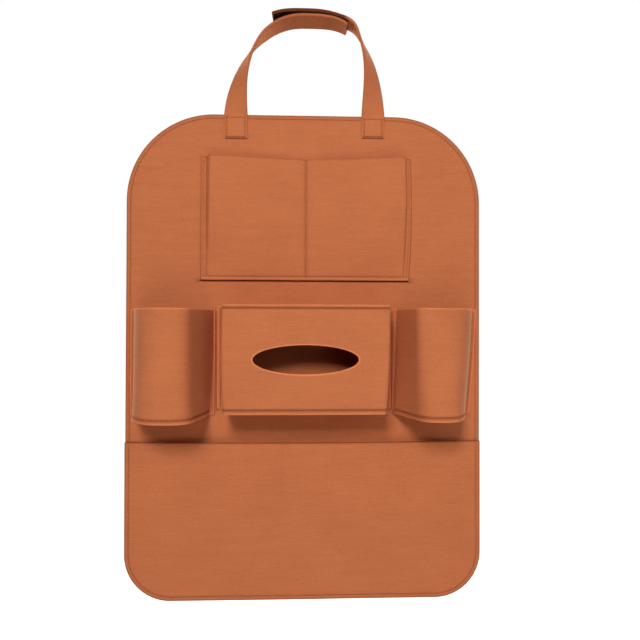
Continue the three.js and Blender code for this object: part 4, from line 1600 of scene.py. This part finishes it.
@dataclass
class StrapLoop:
    """The two straps that close round the posts of a head rest, with their hook-and-loop tapes."""

    spacing: float = 158.0 * MM
    height: float = 109.9 * MM
    full_power: float = 3.4
    upper_power: float = 2.95
    lower_reach: float = 48.0 * MM
    upper_reach: float = 38.0 * MM
    tape: float = 1.0 * MM
    seam_gap: float = 0.3 * MM
    hook_gap: float = 0.2 * MM
    width: float = 27.0 * MM
    tape_width: float = 26.0 * MM
    sewn: float = 28.0 * MM
    right_sewn: float = 25.6 * MM
    end_margin: float = 0.5 * MM
    loop_reach: float = 36.0 * MM
    shoulder_power: float = 2.2
    stitch_inset: float = 3.3 * MM
    edge_thinning: float = 1.7 * MM
    thinning_start: float = 2.0 * MM
    thinning_width: float = 2.6 * MM
    cell: tuple[float, float] = (3.4 * MM, 2.4 * MM)

    def __post_init__(self) -> None:
        """Lays out the two arches."""
        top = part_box("back_panel")[1].z
        tilt = math.radians(Arch.quarter_turn + Arch.crown_tilt - 90.0)
        offset = (FELT + 2 * self.tape + 2 * self.seam_gap + self.hook_gap) / math.cos(tilt)
        half = self.spacing / 2
        rise = Quarter(half, self.height, self.shoulder_power)
        run = Quarter(half - offset, self.height, self.full_power)
        self.lower = Arch(rise, run, self.lower_reach, self.sewn, top, foot_shift=-1.2 * MM)
        both = Quarter(half, self.height + offset, self.upper_power)
        bent = {"end_twist": 5.0, "end_lift": -0.5 * MM, "kink": 3.4 * MM}
        self.upper = Arch(both, both, self.upper_reach, self.right_sewn, top, **bent)

    def thinned(self, flat: np.ndarray, low: float) -> np.ndarray:
        """Returns how much thinner a strap's sewn end is outside its box of stitches."""
        out = np.abs(flat[:, 0]) - self.width / 2 + self.stitch_inset
        down = -flat[:, 1] - low + self.thinning_start
        sewn = np.clip(-flat[:, 1] / (3.0 * MM), 0.0, 1.0)
        eased = smooth_step(np.maximum(out, down) / self.thinning_width)
        return self.edge_thinning * eased * sewn

    @staticmethod
    def darkened_lap_edge(arch: Arch) -> Callable[[np.ndarray], np.ndarray]:
        """Returns the rule that darkens a strap's cut edge where the hook tape is sewn on."""
        start = arch.to_top - arch.lap
        return lambda flat: 1.2 * smooth_step((flat[:, 1] - start) / (6.0 * MM))

    def build_strap(self, makers: Makers, arch: Arch, side: float, name: str, node: str) -> list[Seam]:
        """Makes one strap with its box of stitches.

        Args:
            makers: The finishes and the stitches.
            arch: Its middle line.
            side: 1 for the strap that rises on the left, -1 for the other.
            name: The piece's name.
            node: The solid that it stands for.

        Returns:
            The box of stitches as it goes through the panel.
        """
        half, soft = self.width / 2, 1.0 * MM
        outline = RoundedRect((-half, -arch.sewn), (half, arch.length), (soft,) * 4, 2.0 * MM)
        cross, low = -4.2 * MM, -arch.sewn + 1.6 * MM
        reach = half - self.stitch_inset
        box = [(-reach, cross), (reach, cross), (reach, low), (-reach, low), (-reach, cross)]
        seams = [Seam.line(a, b, front=0.3 * MM, dark=0.2) for a, b in zip(box, box[1:])]
        extra_edge_darkening = self.darkened_lap_edge(arch) if arch is self.upper else None
        felt = FeltPiece(
            name, outline, lambda flat: arch.place(flat, side), seams, self.cell,
            thinned=lambda flat: self.thinned(flat, arch.sewn),
            # Faint painted shade along the strap's rim and cut edge
            rim_shading=0.1, edge_shading=0.3, extra_edge_darkening=extra_edge_darkening,
        )
        piece = declare(felt.build(makers.finishes.strap_felt), [node])
        declare(makers.stitches.sew(name + "_stitches", felt.stitch_lines()))
        middle = -side * self.spacing / 2
        top = arch.top
        through = [(middle + x, top + z) for x, z in box]
        return [Seam.line(a, b) for a, b in zip(through, through[1:])]

    def build_tape(self, makers: Makers, arch: Arch, side: float, outside: bool, name: str) -> None:
        """Makes one tape on a strap's outer face, or on its inner one.

        Args:
            makers: The finishes and the stitches.
            arch: The strap's middle line.
            side: 1 for the strap that rises on the left, -1 for the other.
            outside: Whether the tape is the soft loop tape on the outer face.
            name: The piece's name.
        """
        half = self.tape_width / 2
        start = arch.to_top - (self.loop_reach if outside else arch.lap - self.end_margin)
        end = arch.length - self.end_margin
        outline = RoundedRect((-half, start), (half, end), (0.8 * MM,) * 4, 2.0 * MM)
        out = (HALF + self.seam_gap + self.tape / 2) * (1 if outside else -1)
        inset = 1.8 * MM
        pressed = {"front": 0.2 * MM, "back": 0.0}
        rows = [
            Seam.line((x, start + inset), (x, end - inset), **pressed)
            for x in (-half + inset, half - inset)
        ]
        strip = FeltPiece(
            name, outline, lambda flat: arch.place(flat, side, out), rows, self.cell, thickness=self.tape
        )
        slot = Slot.LOOP if outside else Slot.HOOK
        material = makers.finishes.loop if outside else makers.finishes.hook
        piece = declare(strip.build(material), [f"strap_{slot.value}"])

    def build(self, makers: Makers) -> list[Seam]:
        """Makes both straps and both tapes.

        Args:
            makers: The finishes and the stitches.

        Returns:
            The seams that go through the panel.
        """
        seams = self.build_strap(makers, self.lower, 1.0, "strap_felt_left", "strap_left")
        seams += self.build_strap(makers, self.upper, -1.0, "strap_felt_right", "strap_right")
        self.build_tape(makers, self.lower, 1.0, True, "loop_tape_strip")
        self.build_tape(makers, self.upper, -1.0, False, "hook_tape_strip")
        return seams


# The studio


@dataclass(frozen=True)
class SoftLight:
    """A square soft light: its place, its width, its power in watts and its beam in degrees."""

    name: str
    place: tuple[float, float, float]
    size: float
    power: float
    spread: float = 180.0

    def build(self, aim: Vector) -> None:
        """Makes the light and turns it towards a place."""
        lamp = bpy.data.lights.new(self.name, "AREA")
        lamp.shape = "SQUARE"
        lamp.size = self.size
        lamp.energy = self.power
        lamp.spread = math.radians(self.spread)
        light = link(lamp, self.name)
        turn = (aim - Vector(self.place)).to_track_quat("-Z", "Y").to_matrix().to_4x4()
        light.matrix_world = Matrix.Translation(self.place) @ turn


@dataclass
class Studio:
    """The camera, the lights, the floor and the pale surroundings."""

    camera_place: tuple[float, float, float] = (0.0008, -0.7033, 0.0374)
    yaw: float = -2.347
    pitch: float = 0.564
    roll: float = 0.152
    focal_pixels: float = 602.2
    centre_pixels: tuple[float, float] = (330.0, 317.9)
    image_pixels: float = 640.0
    sensor: float = 36.0
    floor_level: float = -0.9
    floor_reach: float = 12.0
    floor_colour: tuple[float, float, float] = (0.78, 0.77, 0.76)
    glow: float = 0.02
    glow_colour: tuple[float, float, float] = (1.0, 0.985, 0.97)
    light_aim: tuple[float, float, float] = (0.0, 0.0, 0.05)

    WHITE = (1.0, 1.0, 1.0, 1.0)
    LIGHTS = (
        SoftLight("key", (-0.25, -1.674, 0.913), size=0.5, power=8.6, spread=110.0),
        SoftLight("front_fill", (0.564, -0.977, 0.46), size=0.8, power=2.3),
        SoftLight("low_right", (0.629, -0.898, -0.438), size=0.8, power=1.3),
        SoftLight("low_left", (-0.238, -0.888, -0.721), size=0.8, power=1.9),
        SoftLight("left_rim", (-1.5, 0.24, 0.4), size=0.6, power=4.0),
        SoftLight("right_rim", (1.5, 0.24, 0.4), size=0.6, power=4.0),
        SoftLight("back_left", (-0.966, 1.152, 0.597), size=0.6, power=16.0),
        SoftLight("back_right", (0.966, 1.152, 0.597), size=0.6, power=16.0),
    )

    def build_camera(self) -> None:
        """Sets up the camera at the photograph's viewing angle."""
        lens = bpy.data.cameras.new("camera")
        lens.sensor_width = self.sensor
        lens.lens = self.focal_pixels * self.sensor / self.image_pixels
        lens.shift_x = (self.image_pixels / 2 - self.centre_pixels[0]) / self.image_pixels
        lens.shift_y = (self.centre_pixels[1] - self.image_pixels / 2) / self.image_pixels
        lens.clip_start, lens.clip_end = 0.01, 50.0
        camera = link(lens, "camera")
        turn = Matrix.Rotation(math.radians(self.yaw), 4, "Z")
        turn @= Matrix.Rotation(math.radians(90.0 + self.pitch), 4, "X")
        turn @= Matrix.Rotation(math.radians(self.roll), 4, "Z")
        camera.matrix_world = Matrix.Translation(self.camera_place) @ turn
        bpy.context.scene.camera = camera

    def build_world(self) -> None:
        """Makes pale surroundings: white where they are seen, and dimmer where they light the object."""
        world = bpy.data.worlds.new("studio")
        world.use_nodes = True
        bpy.context.scene.world = world
        desk = NodeDesk(world.node_tree)
        world.node_tree.nodes.clear()
        seen = desk.add("ShaderNodeLightPath").outputs["Is Camera Ray"]
        glow = {"Color": (*self.glow_colour, 1.0), "Strength": self.glow}
        dim = desk.add("ShaderNodeBackground", glow)
        pale = desk.add("ShaderNodeBackground", {"Color": self.WHITE, "Strength": 1.0})
        both = desk.add("ShaderNodeMixShader", {0: seen, 1: dim.outputs[0], 2: pale.outputs[0]})
        desk.add("ShaderNodeOutputWorld", {"Surface": both.outputs[0]})

    def build_floor(self) -> None:
        """Makes the plain pale floor."""
        mesh = bpy.data.meshes.new("floor")
        reach = self.floor_reach
        corners = [(-reach, -reach), (reach, -reach), (reach, reach), (-reach, reach)]
        mesh.from_pydata([(x, y, self.floor_level) for x, y in corners], [], [(0, 1, 2, 3)])
        material, desk, shader = new_material("pale_floor")
        looks = {
            "Base Color": (*self.floor_colour, 1.0),
            "Roughness": 0.9,
            "Emission Color": self.WHITE,
            "Emission Strength": desk.add("ShaderNodeLightPath").outputs["Is Camera Ray"],
        }
        desk.feed(shader, looks)
        mesh.materials.append(material)
        link(mesh, "floor")

    def build(self) -> None:
        """Makes everything round the object."""
        bpy.context.scene.view_settings.view_transform = "Standard"
        self.build_camera()
        self.build_world()
        self.build_floor()
        for light in self.LIGHTS:
            light.build(Vector(self.light_aim))


def left_bottle_pocket() -> BottlePocket:
    """Returns the left pocket, whose inner wall turns outwards near its lower end."""
    mouth = Section(
        edge=102.9 * MM, inner=107.3 * MM, outer=191.3 * MM, crown=147.0 * MM, depth=72.0 * MM,
        inner_lean=16.0 * MM, inner_corner=13.0 * MM, fullness=0.66,
    )
    foot = Section(
        edge=103.6 * MM, inner=111.6 * MM, outer=191.0 * MM, crown=147.0 * MM, depth=73.5 * MM,
        inner_lean=6.5 * MM, inner_corner=25.0 * MM, outer_corner=10.0 * MM, outer_knee=31.0 * MM,
    )
    return BottlePocket(Side.LEFT, mouth, foot, top_lift=1.6 * MM, ease=3.0)


def right_bottle_pocket() -> BottlePocket:
    """Returns the right pocket, whose lower end leans towards the middle of the panel."""
    mouth = Section(
        edge=104.6 * MM, inner=109.8 * MM, outer=192.4 * MM, crown=145.0 * MM, depth=52.0 * MM,
        inner_lean=14.5 * MM, inner_corner=8.0 * MM,
    )
    foot = Section(
        edge=101.6 * MM, inner=104.3 * MM, outer=184.0 * MM, crown=150.0 * MM, depth=73.0 * MM,
        inner_lean=18.0 * MM, inner_corner=20.0 * MM, fullness=0.75,
        outer_lean=10.0 * MM, outer_corner=14.0 * MM, outer_knee=40.0 * MM,
    )
    return BottlePocket(Side.RIGHT, mouth, foot, top_lift=2.8 * MM, bottom_lift=1.5 * MM)


def dress_tapes(finishes: Finishes) -> None:
    """Gives the tissue flap's hidden tapes their finish."""
    for name, material in (("flap_hook_tape", finishes.hook), ("flap_loop_tape", finishes.loop)):
        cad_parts[name].data.materials.clear()
        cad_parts[name].data.materials.append(material)


def main() -> None:
    """Builds the organizer and its surroundings."""
    logging.basicConfig(level=logging.INFO, format="%(name)s: %(message)s")
    Studio().build()
    finishes = Finishes()
    makers = Makers(finishes, StitchRows(finishes.thread))
    LowerPocket().build(makers)
    through: list[Seam] = []
    bottle_pockets = (left_bottle_pocket(), right_bottle_pocket())
    for part in (UpperPocket(), TissuePocket(), *bottle_pockets, StrapLoop()):
        through += part.build(makers)
    BackPanel(through_seams=through).build(makers)
    dress_tapes(finishes)
    bpy.context.view_layer.update()


if __name__ == "__main__":
    main()
